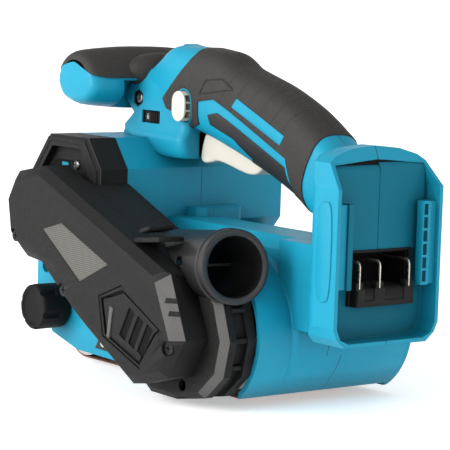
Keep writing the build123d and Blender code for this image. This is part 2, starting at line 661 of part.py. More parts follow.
def brush_plate():
    """Insulating ring with two brush boxes."""
    plate = ring_y(MOTOR_X, MOTOR_Z, MOTOR_R, 12, -14, -12)
    for side in (-1, 1):
        x0, x1 = sorted((MOTOR_X + side * 12, MOTOR_X + side * 24))
        tube = box(x0, x1, -25, -14, MOTOR_Z - 5, MOTOR_Z + 5)
        plate += tube - box(x0 - 1, x1 + 1, -23.5, -15.5, MOTOR_Z - 3.5, MOTOR_Z + 3.5)
    return plate


def brushes():
    """Two carbon brushes in their boxes."""
    pair = []
    for side in (-1, 1):
        x0, x1 = sorted((MOTOR_X + side * 9.3, MOTOR_X + side * 21))
        pair.append(box(x0, x1, -23.5, -15.5, MOTOR_Z - 3.5, MOTOR_Z + 3.5))
    return pair


def cooling_fan():
    """Radial fan on the right end of the motor shaft."""
    fan = cyl_y(MOTOR_X, MOTOR_Z, 27, -36, -34) + cyl_y(MOTOR_X, MOTOR_Z, 8, -46, -34)
    blades = 11
    for blade in range(blades):
        leaf = box(7, 26.5, -46, -35, -0.8, 0.8).rotate(Axis.Y, 360 / blades * blade)
        fan += Pos(MOTOR_X, 0, MOTOR_Z) * leaf
    return fan - cyl_y(MOTOR_X, MOTOR_Z, 4, -50, -30)


def motor_bearings():
    return [bearing(MOTOR_X, MOTOR_Z, 4, 11, -59, -52), bearing(MOTOR_X, MOTOR_Z, 4, 11, 71, 78)]


def drum_bearings():
    return [bearing(REAR_X, AXLE_Z, 6, 9.5, -50, -43), bearing(REAR_X, AXLE_Z, 6, 9.5, 41, 47)]


def idler_bearings():
    return [bearing(IDLER_X, IDLER_Z, 4, 8, HOOD_LEFT, HOOD_LEFT + WALL),
            bearing(IDLER_X, IDLER_Z, 4, 8, 81, CASE_LEFT)]


# ---------------------------------------------------------------- front roller and tension
def front_roller():
    """Crowned steel roller, hollow between its bushes."""
    middle = cyl_y(FRONT_X, AXLE_Z, ROLLER_R, -20, 20)
    ends = [cyl_y(FRONT_X, AXLE_Z, ROLLER_R - 0.3, *span) for span in ((-39, -20), (20, 39))]
    roller = middle + ends[0] + ends[1]
    roller -= cyl_y(FRONT_X, AXLE_Z, ROLLER_R - 4, -33, 33)
    return roller - cyl_y(FRONT_X, AXLE_Z, 8, -40, 40)


def roller_bushes():
    """Two bronze bushes pressed into the roller."""
    return [ring_y(FRONT_X, AXLE_Z, 8, 5 + RUNNING, -39, -33),
            ring_y(FRONT_X, AXLE_Z, 8, 5 + RUNNING, 33, 39)]


def roller_axle():
    axle = cyl_y(FRONT_X, AXLE_Z, 5, -43, 47.5)
    return axle - ring_y(FRONT_X, AXLE_Z, 6, 4, -41.5, -40.4)


def roller_clip():
    """Retaining ring on the free end of the axle."""
    return ring_y(FRONT_X, AXLE_Z, 7.5, 4, -41.5, -40.4)


def roller_fork():
    """Sliding plate on the left that carries the axle."""
    plate = box(50, 93, 47.5, 52, AXLE_Z - 5.5, AXLE_Z + 5)
    return plate + box(50, 54, 47.5, 53.5, AXLE_Z - 5.5, AXLE_Z + 5)


def lever_pin():
    return cyl((0, 0, 1), LEVER_X, LEVER_Y, 13.5, 1.5, 21)


def tension_lever():
    """Flat lever on the right; swung outwards it slackens the belt."""
    arm = box(LEVER_X - 44, LEVER_X, LEVER_Y - 2, LEVER_Y + 1.6, 19, 29)
    arm = fillet(edges_along(arm, Axis.Y, (LEVER_X - 45, -60, 0), (LEVER_X - 43, 0, 50)), 4)
    hub = cyl((0, 0, 1), LEVER_X, LEVER_Y, 18.1, 3.6, 11.8)
    return arm + hub - cyl((0, 0, 1), LEVER_X, LEVER_Y, 0, 1.5 + RUNNING, 60)


def tracking_knob():
    """Knob with six notches around its face."""
    knob = cyl_y(TRACK_X, TRACK_Z, 15, 58.5, 78.6)
    knob = chamfer(ShapeList([e for e in knob.edges() if e.center().Y > 78]), 1.2)
    for notch in range(6):
        angle = math.radians(60 * notch + 15)
        x = TRACK_X + 15.4 * math.cos(angle)
        z = TRACK_Z + 15.4 * math.sin(angle)
        knob -= cyl_y(x, z, 2.0, 72, 80)
    knob -= cyl_y(TRACK_X, TRACK_Z, 10.5, 77.8, 80)
    return knob - cyl_y(TRACK_X, TRACK_Z, 2.5, 58, 70)


def tracking_screw():
    return cyl_y(TRACK_X, TRACK_Z, 2.5, 46.5, 70)


# ---------------------------------------------------------------- controls
def trigger():
    """Long two-finger trigger, hooked in front."""
    outline = [(-12.8, 152), (-8.7, 137), (-9.6, 134), (-13, 132.6), (-17, 133), (-25, 135.3),
               (-33, 134.3), (-49, 130.6), (-57, 129.2), (-64, 130), (-70, 133.5),
               (-72.5, 137.5), (-72, 144.5), (-64, 144.8), (-53, 144), (-34, 149), (-24, 152)]
    lever = prism_y(outline, HANDLE_Y - 6.5, HANDLE_Y + 6.5)
    return lever - cyl_y(TRIGGER_X, TRIGGER_Z, 1.5 + RUNNING, -20, 40)


def trigger_pin():
    return cyl_y(TRIGGER_X, TRIGGER_Z, 1.5, HANDLE_Y - 9, HANDLE_Y + 9)


def lock_button():
    """Cross bolt that holds the trigger off or on."""
    bolt = prism_y(lock_outline(0), HANDLE_Y - 15, HANDLE_Y + 23)
    for step in range(3):
        z = LOCK_Z - 6.6 + 4.9 * step
        bolt -= box(LOCK_X - 7, LOCK_X - 3, HANDLE_Y + 16.5, HANDLE_Y + 21.8, z, z + 3.2)
    return bolt


def speed_dial():
    """Ribbed thumbwheel for the belt speed."""
    wheel = cyl((0, 0, 1), DIAL_X, DIAL_Y, DIAL_Z - 3.8, DIAL_R, 7.6)
    ribs = 36
    for rib in range(ribs):
        angle = 2 * math.pi * rib / ribs
        x = DIAL_X + (DIAL_R + 0.5) * math.cos(angle)
        y = DIAL_Y + (DIAL_R + 0.5) * math.sin(angle)
        wheel -= cyl((0, 0, 1), x, y, DIAL_Z - 5, 0.9, 10)
    return wheel + cyl((0, 0, 1), DIAL_X, DIAL_Y, DIAL_Z, 3, 7)


def speed_board():
    """Circuit board above the dial, with the parts that control the speed."""
    board = box(10, 36, HANDLE_Y - 12, HANDLE_Y + 12, 166, 167.6)
    return board + box(30, 35, HANDLE_Y - 8, HANDLE_Y + 8, 167.6, 173)


def switch_body():
    body = box(-78, -26, HANDLE_Y - 12, HANDLE_Y + 12, 158, 171)
    return body + box(-70, -40, HANDLE_Y - 5, HANDLE_Y + 5, 154, 158)


# ---------------------------------------------------------------- battery terminals
BLADE_Y = (28.0, 13.0, -9.0)


def terminal_block():
    """Black block in the pocket, with the step that the blades stand in."""
    block = box(-146, -134, *POCKET_Y, 66, 96)
    block += box(-172, -146, *POCKET_Y, 66, 76)
    for y in BLADE_Y:
        block -= box(-173, -130, y - 0.4, y + 0.4, 70, 92)
    return block


def blades():
    """Three contact blades."""
    group = []
    for y in BLADE_Y:
        blade = box(-172.5, -140, y - 0.4, y + 0.4, 70, 92)
        corner = edges_along(blade, Axis.Y, (-173, y - 1, 91), (-172, y + 1, 93))
        group.append(fillet(corner, 3))
    return group


def housing_screws():
    """Cross-head screws that draw the halves together."""
    screws = []
    for x, z, face in HOUSING_SCREWS:
        head = cyl_y(x, z, 3.9, face - 6, face - 3.6)
        slot = box(x - 2.2, x + 2.2, face - 4.8, face - 3, z - 0.4, z + 0.4)
        cross = box(x - 0.4, x + 0.4, face - 4.8, face - 3, z - 2.2, z + 2.2)
        screws.append(head + cyl_y(x, z, 1.95, face - 25, face - 5) - slot - cross)
    return screws


# ---------------------------------------------------------------- write the nodes
def main():
    os.makedirs(PARTS, exist_ok=True)
    left, right = split_housing(housing())
    nodes = {
        "housing_left": left, "housing_right": right, "grip_rubber_left": grip_rubber("left"),
        "grip_rubber_right": grip_rubber("right"), "front_grip_rubber": front_grip_rubber(),
        "housing_screws": housing_screws(), "motor_end_cap": motor_end_cap(),
        "gear_case": gear_case(), "drive_cover": drive_cover(), "name_plate": name_plate(),
        "cover_screws": cover_screws(), "side_label": side_label(), "dust_spout": dust_spout(),
        "sole_frame": sole_frame(), "platen": platen(), "graphite_pad": graphite_pad(),
        "sanding_belt": sanding_belt(), "drum_core": drum_core(), "drum_sleeve": drum_sleeve(),
        "drum_shaft": drum_shaft(), "drum_gear": drum_gear(), "drum_bearings": drum_bearings(),
        "pinion": pinion(), "idler_shaft": idler_shaft(), "idler_pulley": idler_pulley(),
        "idler_bearings": idler_bearings(), "motor_pulley": motor_pulley(),
        "toothed_belt": toothed_belt(), "motor_shaft": motor_shaft(), "motor_can": motor_can(),
        "motor_magnets": motor_magnets(), "armature": armature(), "windings": windings(),
        "commutator": commutator(), "brush_plate": brush_plate(), "brushes": brushes(),
        "cooling_fan": cooling_fan(), "motor_bearings": motor_bearings(),
        "front_roller": front_roller(), "roller_bushes": roller_bushes(),
        "roller_axle": roller_axle(), "roller_clip": roller_clip(), "roller_fork": roller_fork(),
        "tension_lever": tension_lever(), "lever_pin": lever_pin(),
        "tracking_knob": tracking_knob(), "tracking_screw": tracking_screw(),
        "trigger": trigger(), "trigger_pin": trigger_pin(), "lock_button": lock_button(),
        "speed_dial": speed_dial(), "speed_board": speed_board(), "switch_body": switch_body(),
        "terminal_block": terminal_block(), "terminal_blades": blades(),
    }
    for name, shape in nodes.items():
        save(name, *(shape if isinstance(shape, list) else [shape]))


main()
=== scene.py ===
"""Looks of the cordless belt sander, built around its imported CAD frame.

Frame: +X to the front of the tool, +Y to its left, +Z up, metres.  The helpers take
millimetres, like the tool's own dimensions.
"""

import json
import math

import bmesh
import bpy
import numpy as np
from mathutils import Matrix, Vector


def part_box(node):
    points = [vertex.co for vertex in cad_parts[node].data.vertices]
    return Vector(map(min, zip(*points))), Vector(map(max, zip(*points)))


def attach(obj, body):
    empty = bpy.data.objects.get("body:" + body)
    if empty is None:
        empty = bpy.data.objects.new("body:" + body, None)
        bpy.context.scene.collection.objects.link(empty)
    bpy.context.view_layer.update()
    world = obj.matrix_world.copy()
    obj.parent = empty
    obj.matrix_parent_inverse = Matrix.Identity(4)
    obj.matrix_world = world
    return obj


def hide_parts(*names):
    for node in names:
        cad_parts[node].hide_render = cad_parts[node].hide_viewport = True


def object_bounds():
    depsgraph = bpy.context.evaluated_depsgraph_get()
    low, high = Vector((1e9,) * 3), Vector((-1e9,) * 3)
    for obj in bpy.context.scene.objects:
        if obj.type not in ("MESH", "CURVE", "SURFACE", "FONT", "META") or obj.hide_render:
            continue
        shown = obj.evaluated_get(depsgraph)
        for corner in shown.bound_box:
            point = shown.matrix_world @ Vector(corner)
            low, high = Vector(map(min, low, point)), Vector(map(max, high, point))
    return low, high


MM = 0.001
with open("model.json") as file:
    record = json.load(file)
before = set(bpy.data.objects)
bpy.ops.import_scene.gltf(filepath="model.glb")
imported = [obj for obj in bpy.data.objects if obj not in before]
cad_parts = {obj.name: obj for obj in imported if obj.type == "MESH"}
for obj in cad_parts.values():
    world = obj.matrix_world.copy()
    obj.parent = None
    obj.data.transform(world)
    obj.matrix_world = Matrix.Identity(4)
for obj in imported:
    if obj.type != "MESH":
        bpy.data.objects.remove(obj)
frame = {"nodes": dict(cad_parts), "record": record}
cad_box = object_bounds()
nodes = frame["nodes"]

# ---------------------------------------- main dimensions, mm
HANDLE_Y = 11.0                             # middle of handle, front bar, battery mount
HOOD_X, HOOD_Z, HOOD_R = -80.5, 43.0, 46.0  # axis and radius of the drum hood
BAR_X, BAR_Z, BAR_HALF = 64.0, 181.0, 50.5  # middle of the bar's section, half length
WAIST_HALF = 29.2                           # half length of the bar's waist at the neck
SLOT_HALF = 7.1                             # half width of the trigger's slot
BLADES = (28.0, 13.0, -9.0)                 # where the contact blades stand across
CASE_LEFT, COVER_LEFT = 84.0, 106.0         # left faces of gear case and drive cover
MOUNT_X = -177.0                            # rear face of the battery mount
SPOUT_MOUTH = (-120.0, 75.0, 85.0)          # middle of the dust spout's mouth


# ---------------------------------------- shader helpers
class Shader:
    """Small wrapper that adds nodes to a new material and links them."""

    def __init__(self, name):
        self.material = bpy.data.materials.new(name)
        self.material.use_nodes = True
        self.tree = self.material.node_tree
        self.coords = self.add("ShaderNodeTexCoord").outputs["Object"]

    def feed(self, node, values):
        """Links a socket or sets a value, for each input that is named."""
        for key, value in values.items():
            if isinstance(value, bpy.types.NodeSocket):
                self.tree.links.new(value, node.inputs[key])
            elif value is not None:
                node.inputs[key].default_value = value

    def add(self, kind, values=None, **settings):
        node = self.tree.nodes.new(kind)
        for key, value in settings.items():
            setattr(node, key, value)
        self.feed(node, values or {})
        return node

    def math(self, operation, a, b=0.0):
        return self.add("ShaderNodeMath", {0: a, 1: b}, operation=operation).outputs[0]

    def noise(self, scale, detail=2.0, rough=0.5, vector=None):
        return self.add("ShaderNodeTexNoise", {"Vector": vector or self.coords, "Scale": scale,
                                               "Detail": detail, "Roughness": rough}).outputs["Fac"]

    def ramp(self, value, low, high, start=0.0, end=1.0):
        return self.add("ShaderNodeMapRange", {"Value": value, "From Min": low, "From Max": high,
                                               "To Min": start, "To Max": end}).outputs["Result"]

    def mix(self, factor, a, b):
        return self.add("ShaderNodeMix", {"Factor": factor, "A": a, "B": b},
                        data_type="RGBA").outputs["Result"]

    def axes(self):
        return self.add("ShaderNodeSeparateXYZ", {0: self.coords}).outputs

    def round_edges(self, radius):
        return self.add("ShaderNodeBevel", {"Radius": radius}, samples=4).outputs["Normal"]

    def bump(self, height, strength, distance, normal=None):
        return self.add("ShaderNodeBump", {"Strength": strength, "Distance": distance,
                                           "Height": height, "Normal": normal}).outputs["Normal"]

    def finish(self, values):
        """Feeds the surface and hands over the material."""
        self.feed(self.tree.nodes["Principled BSDF"], values)
        return self.material


def scaled(colour, factor):
    return tuple(min(1.0, c * factor) for c in colour[:3]) + (1.0,)


def moulded(name, colour, rough=0.45, grain=2600.0, depth=0.25, edge=0.8, spots=0.0, sheen=0.25,
            seams=False, grooves=False):
    """Moulded plastic or rubber: spark texture, soft edges, slight colour drift, dust, and painted
    shade in crevices and in any grooves.
    """
    shader = Shader(name)
    drift = shader.noise(38.0, 3.0)
    base = shader.mix(shader.ramp(drift, 0.3, 0.7), scaled(colour, 0.93), scaled(colour, 1.07))
    fine = shader.noise(grain, 2.0, 0.6)
    base = shader.mix(shader.ramp(fine, 0.35, 0.7), scaled(colour, 0.9), base)
    if spots:
        dust = shader.noise(900.0, 1.0)
        base = shader.mix(shader.ramp(dust, 0.74, 0.80, 0.0, spots), base, (0.30, 0.29, 0.28, 1))
    height = fine
    x, y, z = shader.axes()
    if seams:
        # Parting line: at y = 0 on the body, in the middle of the handle and mount above it.
        upper = shader.math("GREATER_THAN", z, 0.1468)
        rear = shader.math("LESS_THAN", x, -0.1268)
        high = shader.math("MAXIMUM", upper, rear)
        middle = shader.math("MULTIPLY", high, HANDLE_Y * MM)
        away = shader.math("ABSOLUTE", shader.math("SUBTRACT", y, middle))
        line = shader.ramp(away, 0.00018, 0.0004, 1.0, 0.0)
        base = shader.mix(line, base, scaled(colour, 0.28))
        height = shader.math("SUBTRACT", fine, shader.math("MULTIPLY", line, 3.0))
    if grooves:
        # Cuts square to the grip's own direction, one every 11.6 mm, their colour darkened as painted
        # shade in them.
        along = shader.math("ADD", shader.math("MULTIPLY", x, 0.84),
                            shader.math("MULTIPLY", z, 0.54))
        turn = shader.math("PINGPONG", shader.math("ADD", along, 0.0111), 0.0058)
        inside = shader.math("LESS_THAN",
                             shader.math("ABSOLUTE", shader.math("SUBTRACT", along, 0.0295)), 0.0345)
        cut = shader.math("MULTIPLY", shader.ramp(turn, 0.00012, 0.0004, 1.0, 0.0), inside)
        base = shader.mix(cut, base, scaled(colour, 0.3))
        height = shader.math("SUBTRACT", height, shader.math("MULTIPLY", cut, 3.0))
    # Painted shade: ambient occlusion pulls the colour towards 0.62 of itself in crevices and
    # corners.
    shade = shader.add("ShaderNodeAmbientOcclusion", {"Distance": 0.02}, samples=6).outputs["AO"]
    return shader.finish({
        "Base Color": shader.mix(shader.ramp(shade, 0.35, 0.95), scaled(colour, 0.62), base),
        "Roughness": shader.ramp(shader.noise(420.0), 0.3, 0.7, rough - 0.05, rough + 0.07),
        "Specular IOR Level": sheen,
        "Normal": shader.bump(height, depth, 0.00012, shader.round_edges(edge * MM)),
    })


def metal(name, colour, rough=0.32, brushed=(40.0, 40.0, 2600.0)):
    """Brushed or ground metal; brushed is how fine the grain is along each axis."""
    shader = Shader(name)
    stretch = shader.add("ShaderNodeMapping", {"Vector": shader.coords, "Scale": brushed})
    grain = shader.noise(1.0, 3.0, 0.6, stretch.outputs[0])
    return shader.finish({
        "Base Color": shader.mix(shader.ramp(grain, 0.3, 0.7), scaled(colour, 0.85),
                                 scaled(colour, 1.1)),
        "Metallic": 1.0,
        "Roughness": shader.ramp(grain, 0.3, 0.7, rough - 0.06, rough + 0.1),
        "Normal": shader.bump(grain, 0.12, 0.00005, shader.round_edges(0.25 * MM)),
    })


def abrasive():
    """Coated abrasive: dense grit on cloth."""
    shader = Shader("abrasive_grit")
    cells = shader.add("ShaderNodeTexVoronoi", {"Vector": shader.coords, "Scale": 2200.0})
    away = cells.outputs["Distance"]
    return shader.finish({
        "Base Color": shader.mix(shader.ramp(away, 0.1, 0.6), (0.30, 0.13, 0.07, 1),
                                 (0.09, 0.035, 0.02, 1)),
        "Roughness": 0.85,
        "Normal": shader.bump(away, 0.8, 0.0003),
    })


def printed_plate():
    """Metal badge plate with a fine woven print."""
    shader = Shader("badge_weave")
    x, _, z = shader.axes()
    across = shader.math("MULTIPLY", shader.math("ADD", x, z), 2600.0)
    along = shader.math("MULTIPLY", shader.math("SUBTRACT", x, z), 2600.0)
    weave = shader.math("MULTIPLY", shader.math("SINE", across), shader.math("SINE", along))
    return shader.finish({
        "Base Color": shader.mix(shader.ramp(weave, -0.5, 0.5), (0.045, 0.043, 0.038, 1),
                                 (0.15, 0.145, 0.13, 1)),
        "Metallic": 0.55,
        "Roughness": 0.38,
        "Normal": shader.bump(weave, 0.3, 0.00008),
    })


# ---------------------------------------- materials
BLUE = (0.004, 0.262, 0.400, 1)
BLACK = (0.0105, 0.0105, 0.0102, 1)
RUBBER = (0.029, 0.0262, 0.0245, 1)
CREAM = (0.62, 0.60, 0.52, 1)

blue = moulded("blue_plastic", BLUE, 0.48, seams=True)
blue_plain = moulded("blue_plastic_trim", BLUE, 0.48)
# Painted shade: the housing blue at half strength, for the recess panels, the recess liner and the
# left rail, where shade falls.
blue_painted_shade = moulded("blue_plastic_painted_shade", scaled(BLUE, 0.5), 0.6, grain=1700.0, depth=0.5,
                    edge=0.5, sheen=0.15)
# Painted shade: the housing blue at a fifth, for the floor behind the right rail's windows.
blue_painted_pocket_shade = moulded("blue_plastic_painted_pocket_shade", scaled(BLUE, 0.2), 0.6, grain=1700.0, depth=0.3,
                      edge=0.3, sheen=0.1)
black = moulded("black_plastic", BLACK, 0.55, grain=1900.0, depth=0.6, edge=0.7, spots=0.06,
                sheen=0.15)
gloss_black = moulded("spout_plastic", (0.013, 0.013, 0.0133, 1), 0.33, grain=5200.0, depth=0.03,
                      edge=0.4, sheen=0.45)
matt_black = moulded("knob_plastic", (0.0085, 0.0085, 0.0085, 1), 0.6, grain=1900.0, depth=0.5,
                     edge=0.5, spots=0.05, sheen=0.1)
# Painted shade: near-black for the floors of slots, pockets, vents, gaps and grooves, where there is
# only shade.
painted_shade_black = moulded("unlit_black", (0.004, 0.004, 0.004, 1), 0.7, depth=0.05, edge=0.2, sheen=0.1)
dark = moulded("dark_plastic", (0.02, 0.02, 0.021, 1), 0.45, depth=0.15, edge=0.4)
soft_feel = {"rough": 0.7, "grain": 3400.0, "depth": 0.3, "edge": 0.6, "spots": 0.12, "sheen": 0.3}
rubber = moulded("grip_rubber", RUBBER, **soft_feel)
grooved_rubber = moulded("grooved_rubber", RUBBER, seams=True, grooves=True, **soft_feel)
worn_black = moulded("spark_eroded_black", (0.085, 0.083, 0.08, 1), 0.6, grain=1100.0, depth=0.8,
                     edge=0.4)
cream = moulded("cream_plastic", CREAM, 0.36, grain=3000.0, depth=0.08, edge=0.5)
graphite = moulded("graphite_felt", (0.05, 0.05, 0.055, 1), 0.7, grain=1500.0, depth=0.8, edge=0.1)
board = moulded("circuit_board", (0.02, 0.16, 0.07, 1), 0.4, grain=1200.0, depth=0.1, edge=0.2)
insulator = moulded("insulator", (0.30, 0.16, 0.06, 1), 0.5, grain=2000.0, depth=0.2, edge=0.3)
steel = metal("ground_steel", (0.56, 0.56, 0.57))
dark_steel = metal("dark_zinc", (0.20, 0.20, 0.21), 0.35)
blackened = metal("blackened_steel", (0.035, 0.035, 0.036), 0.42)
casting = metal("die_casting", (0.50, 0.51, 0.52), 0.45, (900.0, 900.0, 900.0))
copper = metal("copper", (0.68, 0.34, 0.18), 0.35)
bronze = metal("sintered_bronze", (0.52, 0.36, 0.19), 0.45, (1500.0, 1500.0, 1500.0))
contact = metal("contact_plating", (0.66, 0.61, 0.50), 0.3, (60.0, 60.0, 900.0))
grit = abrasive()
badge = printed_plate()

MATERIAL_OF = {
    "blue_housing": blue, "grip_rubber": rubber, "black_plastic": black,
    "screw_steel": dark_steel, "plate": badge, "label": dark, "spout_plastic": gloss_black,
    "casting": casting, "spring_steel": steel, "graphite": graphite, "abrasive": grit,
    "drum_rubber": rubber, "steel": steel, "bearing_steel": steel, "belt_rubber": rubber,
    "gear_steel": dark_steel, "magnet": dark_steel, "copper": copper, "insulator": insulator,
    "carbon": dark, "fan_plastic": dark, "bronze": bronze, "cream_plastic": cream,
    "board": board, "switch_plastic": dark, "contact": contact, "dial_plastic": dark,
}
for part in frame["record"]["subparts"]:
    node = nodes[part["node"]]
    node.data.materials.clear()
    node.data.materials.append(MATERIAL_OF[part["material_slot"]])
nodes["cover_screws"].data.materials[0] = blackened


# ---------------------------------------- camera
def show(obj):
    """Links a new object into the scene."""
    bpy.context.scene.collection.objects.link(obj)
    return obj


def aim_camera():
    """Camera behind and to the left of the tool, a little above it."""
    azimuth, elevation, roll = (math.radians(a) for a in (37.993, 6.352, 1.873))
    place = Vector((-1074.07, 828.47, 243.76)) * MM
    back = Vector((-math.cos(azimuth) * math.cos(elevation),
                   math.sin(azimuth) * math.cos(elevation), math.sin(elevation)))
    right = Vector((-math.sin(azimuth), -math.cos(azimuth), 0.0))
    up = back.cross(right)
    tilted_right = math.cos(roll) * right + math.sin(roll) * up
    tilted_up = -math.sin(roll) * right + math.cos(roll) * up
    data = bpy.data.cameras.new("camera")
    data.lens = 175.35
    data.sensor_width = 36.0
    data.clip_start, data.clip_end = 0.05, 50.0
    camera = show(bpy.data.objects.new("camera", data))
    rotation = Matrix((tilted_right, tilted_up, back)).transposed().to_4x4()
    camera.matrix_world = Matrix.Translation(place) @ rotation
    bpy.context.scene.camera = camera


aim_camera()


# ---------------------------------------- floor and light
def circle(a, b, radius, sides):
    """Points (a, b) around a circle."""
    return [(a + radius * math.cos(math.tau * k / sides), b + radius * math.sin(math.tau * k / sides))
            for k in range(sides)]


def soft_light(name, place, target, size, watts):
    data = bpy.data.lights.new(name, "AREA")
    data.shape = "RECTANGLE"
    data.size, data.size_y = size
    data.energy = watts
    light = show(bpy.data.objects.new(name, data))
    light.location = place
    light.rotation_mode = "QUATERNION"
    light.rotation_quaternion = (Vector(target) - Vector(place)).to_track_quat("-Z", "Y")


def studio():
    """Pale floor that sweeps up far away all round, and soft lights from left, top and rear."""
    mesh = bpy.data.meshes.new("studio_floor")
    sweep = bmesh.new()
    sides = 48
    rings = []
    for radius, height in ((0.0, 0.0), (0.6, 0.0), (2.6, 0.0), (2.9, 0.04), (3.2, 0.18),
                           (3.4, 0.42), (3.5, 0.8), (3.52, 1.4), (3.52, 2.2)):
        if radius == 0:
            rings.append([sweep.verts.new((0, 0, 0))])
            continue
        rings.append([sweep.verts.new((a, b, height)) for a, b in circle(0.0, 0.0, radius, sides)])
    for k in range(sides):
        sweep.faces.new((rings[0][0], rings[1][k], rings[1][(k + 1) % sides]))
        for inner, outer in zip(rings[1:-1], rings[2:]):
            sweep.faces.new((inner[k], outer[k], outer[(k + 1) % sides], inner[(k + 1) % sides]))
    sweep.to_mesh(mesh)
    sweep.free()
    mesh.shade_smooth()
    floor = show(bpy.data.objects.new("studio_floor", mesh))
    floor.location.z = cad_box[0].z - 0.0002
    paint = Shader("studio_floor")
    tone = paint.mix(paint.ramp(paint.noise(3.0), 0.2, 0.8), (0.92, 0.92, 0.92, 1),
                     (0.94, 0.94, 0.94, 1))
    mesh.materials.append(paint.finish({"Base Color": tone, "Roughness": 0.9,
                                        "Emission Color": (1, 1, 1, 1),
                                        "Emission Strength": 0.40}))
    world = bpy.data.worlds.new("studio")
    world.use_nodes = True
    sky = world.node_tree.nodes["Background"].inputs
    sky["Color"].default_value = (1, 1, 1, 1)
    sky["Strength"].default_value = 0.32
    bpy.context.scene.world = world
    middle = (-0.03, 0.01, 0.09)
    soft_light("key_left", (0.25, 1.7, 0.7), middle, (1.2, 1.0), 36)
    soft_light("top", (-0.1, 0.1, 1.6), middle, (1.6, 1.6), 5)
    soft_light("rear_fill", (-1.6, 0.3, 0.8), middle, (1.0, 1.0), 3)
    bpy.context.scene.view_settings.view_transform = "Standard"


studio()


# ---------------------------------------- mesh helpers, mm
def new_object(name, verts, faces):
    """Mesh object from points in millimetres, with its faces turned outwards."""
    mesh = bpy.data.meshes.new(name)
    mesh.from_pydata([Vector(v) * MM for v in verts], [], faces)
    work = bmesh.new()
    work.from_mesh(mesh)
    bmesh.ops.recalc_face_normals(work, faces=work.faces)
    work.to_mesh(mesh)
    work.free()
    return show(bpy.data.objects.new(name, mesh))


def prism(name, outline, y0, y1):
    """Side-view outline (x, z) carried along Y."""
    count = len(outline)
    verts = [(x, y0, z) for x, z in outline] + [(x, y1, z) for x, z in outline]
    faces = [tuple(range(count)), tuple(range(2 * count - 1, count - 1, -1))]
    for k in range(count):
        n = (k + 1) % count
        faces.append((k, count + k, count + n, n))
    return new_object(name, verts, faces)


def loft(name, rings, hollow=False):
    """Closed skin through rings of equal count; a hollow one joins its last ring to its first."""
    count = len(rings[0])
    verts = [point for ring in rings for point in ring]
    faces = []
    if not hollow:
        faces = [tuple(range(count)), tuple(range(len(verts) - 1, len(verts) - count - 1, -1))]
    for row in range(len(rings) if hollow else len(rings) - 1):
        here, there = row * count, (row + 1) % len(rings) * count
        for k in range(count):
            n = (k + 1) % count
            faces.append((here + k, there + k, there + n, here + n))
    return new_object(name, verts, faces)


def finished_mesh(obj):
    """The mesh that an object's modifiers, or its text, come to."""
    bpy.context.view_layer.update()
    graph = bpy.context.evaluated_depsgraph_get()
    return bpy.data.meshes.new_from_object(obj.evaluated_get(graph))


def settle(obj):
    """Applies an object's modifiers to its mesh."""
    mesh, old = finished_mesh(obj), obj.data
    obj.modifiers.clear()
    obj.data = mesh
    bpy.data.meshes.remove(old)
    return obj


def combine(obj, other, operation):
    """Exact boolean, DIFFERENCE or INTERSECT, that uses up the other object."""
    step = obj.modifiers.new("combine", "BOOLEAN")
    step.operation = operation
    step.object = other
    step.solver = "EXACT"
    settle(obj)
    bpy.data.objects.remove(other)
    return obj


def carve(obj, *tools):
    """Takes each tool out of the object, and uses the tools up."""
    for tool in tools:
        combine(obj, tool, "DIFFERENCE")
    return obj


def trim(obj, reach):
    """Keeps only what lies inside the reach."""
    return combine(obj, reach, "INTERSECT")


def soften(obj, width, segments=2, angle=28.0):
    """Rounds every edge sharper than the angle."""
    step = obj.modifiers.new("soften", "BEVEL")
    step.width = width * MM
    step.segments = segments
    step.limit_method = "ANGLE"
    step.angle_limit = math.radians(angle)
    return settle(obj)


def place(obj, material, slot, body="frame", replaces=(), smooth=32.0):
    """Shades a finished piece and lets it ride on its body."""
    obj.data.materials.clear()
    obj.data.materials.append(material)
    obj.data.shade_smooth()
    obj.data.set_sharp_from_angle(angle=math.radians(smooth))
    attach(obj, body)
    if replaces:
        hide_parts(*replaces)


def between(stations, x, column):
    """Smooth value of one column of a station table at x (Catmull-Rom)."""
    xs = [row[0] for row in stations]
    k = max(0, min(len(xs) - 2, int(np.searchsorted(xs, x)) - 1))
    rows = [stations[max(0, k - 1)], stations[k], stations[k + 1],
            stations[min(len(xs) - 1, k + 2)]]
    p, (x0, x1) = [row[column] for row in rows], (xs[k], xs[k + 1])
    t = (x - x0) / (x1 - x0)
    start = (p[2] - p[0]) / max(rows[2][0] - rows[0][0], 1e-6) * (x1 - x0)
    end = (p[3] - p[1]) / max(rows[3][0] - rows[1][0], 1e-6) * (x1 - x0)
    return ((2 * t ** 3 - 3 * t ** 2 + 1) * p[1] + (t ** 3 - 2 * t ** 2 + t) * start
            + (-2 * t ** 3 + 3 * t ** 2) * p[2] + (t ** 3 - t ** 2) * end)


def oval(half_a, half_b, power, count):
    """Points (a, b) around a super-ellipse; a power of 2 is an ellipse, more is squarer."""
    points = []
    for k in range(count):
        angle = math.tau * (k + 0.5) / count
        c, s = math.cos(angle), math.sin(angle)
        points.append((half_a * math.copysign(abs(c) ** (2 / power), c),
                       half_b * math.copysign(abs(s) ** (2 / power), s)))
    return points


def pill(x, z, half_w, half_h, steps=10):
    """Pill outline (x, z)."""
    points = []
    for side, start in ((1, 0.0), (-1, math.pi)):
        for step in range(steps + 1):
            angle = start + math.pi * step / steps
            points.append((x + half_w * math.cos(angle),
                           z + side * (half_h - half_w) + half_w * math.sin(angle)))
    return points


def shrink(outline, amount):
    """Outline drawn in towards its middle by about the amount."""
    mx = sum(p[0] for p in outline) / len(outline)
    mz = sum(p[1] for p in outline) / len(outline)
    pulled = []
    for x, z in outline:
        far = math.hypot(x - mx, z - mz)
        pulled.append((x + (mx - x) * amount / far, z + (mz - z) * amount / far))
    return pulled


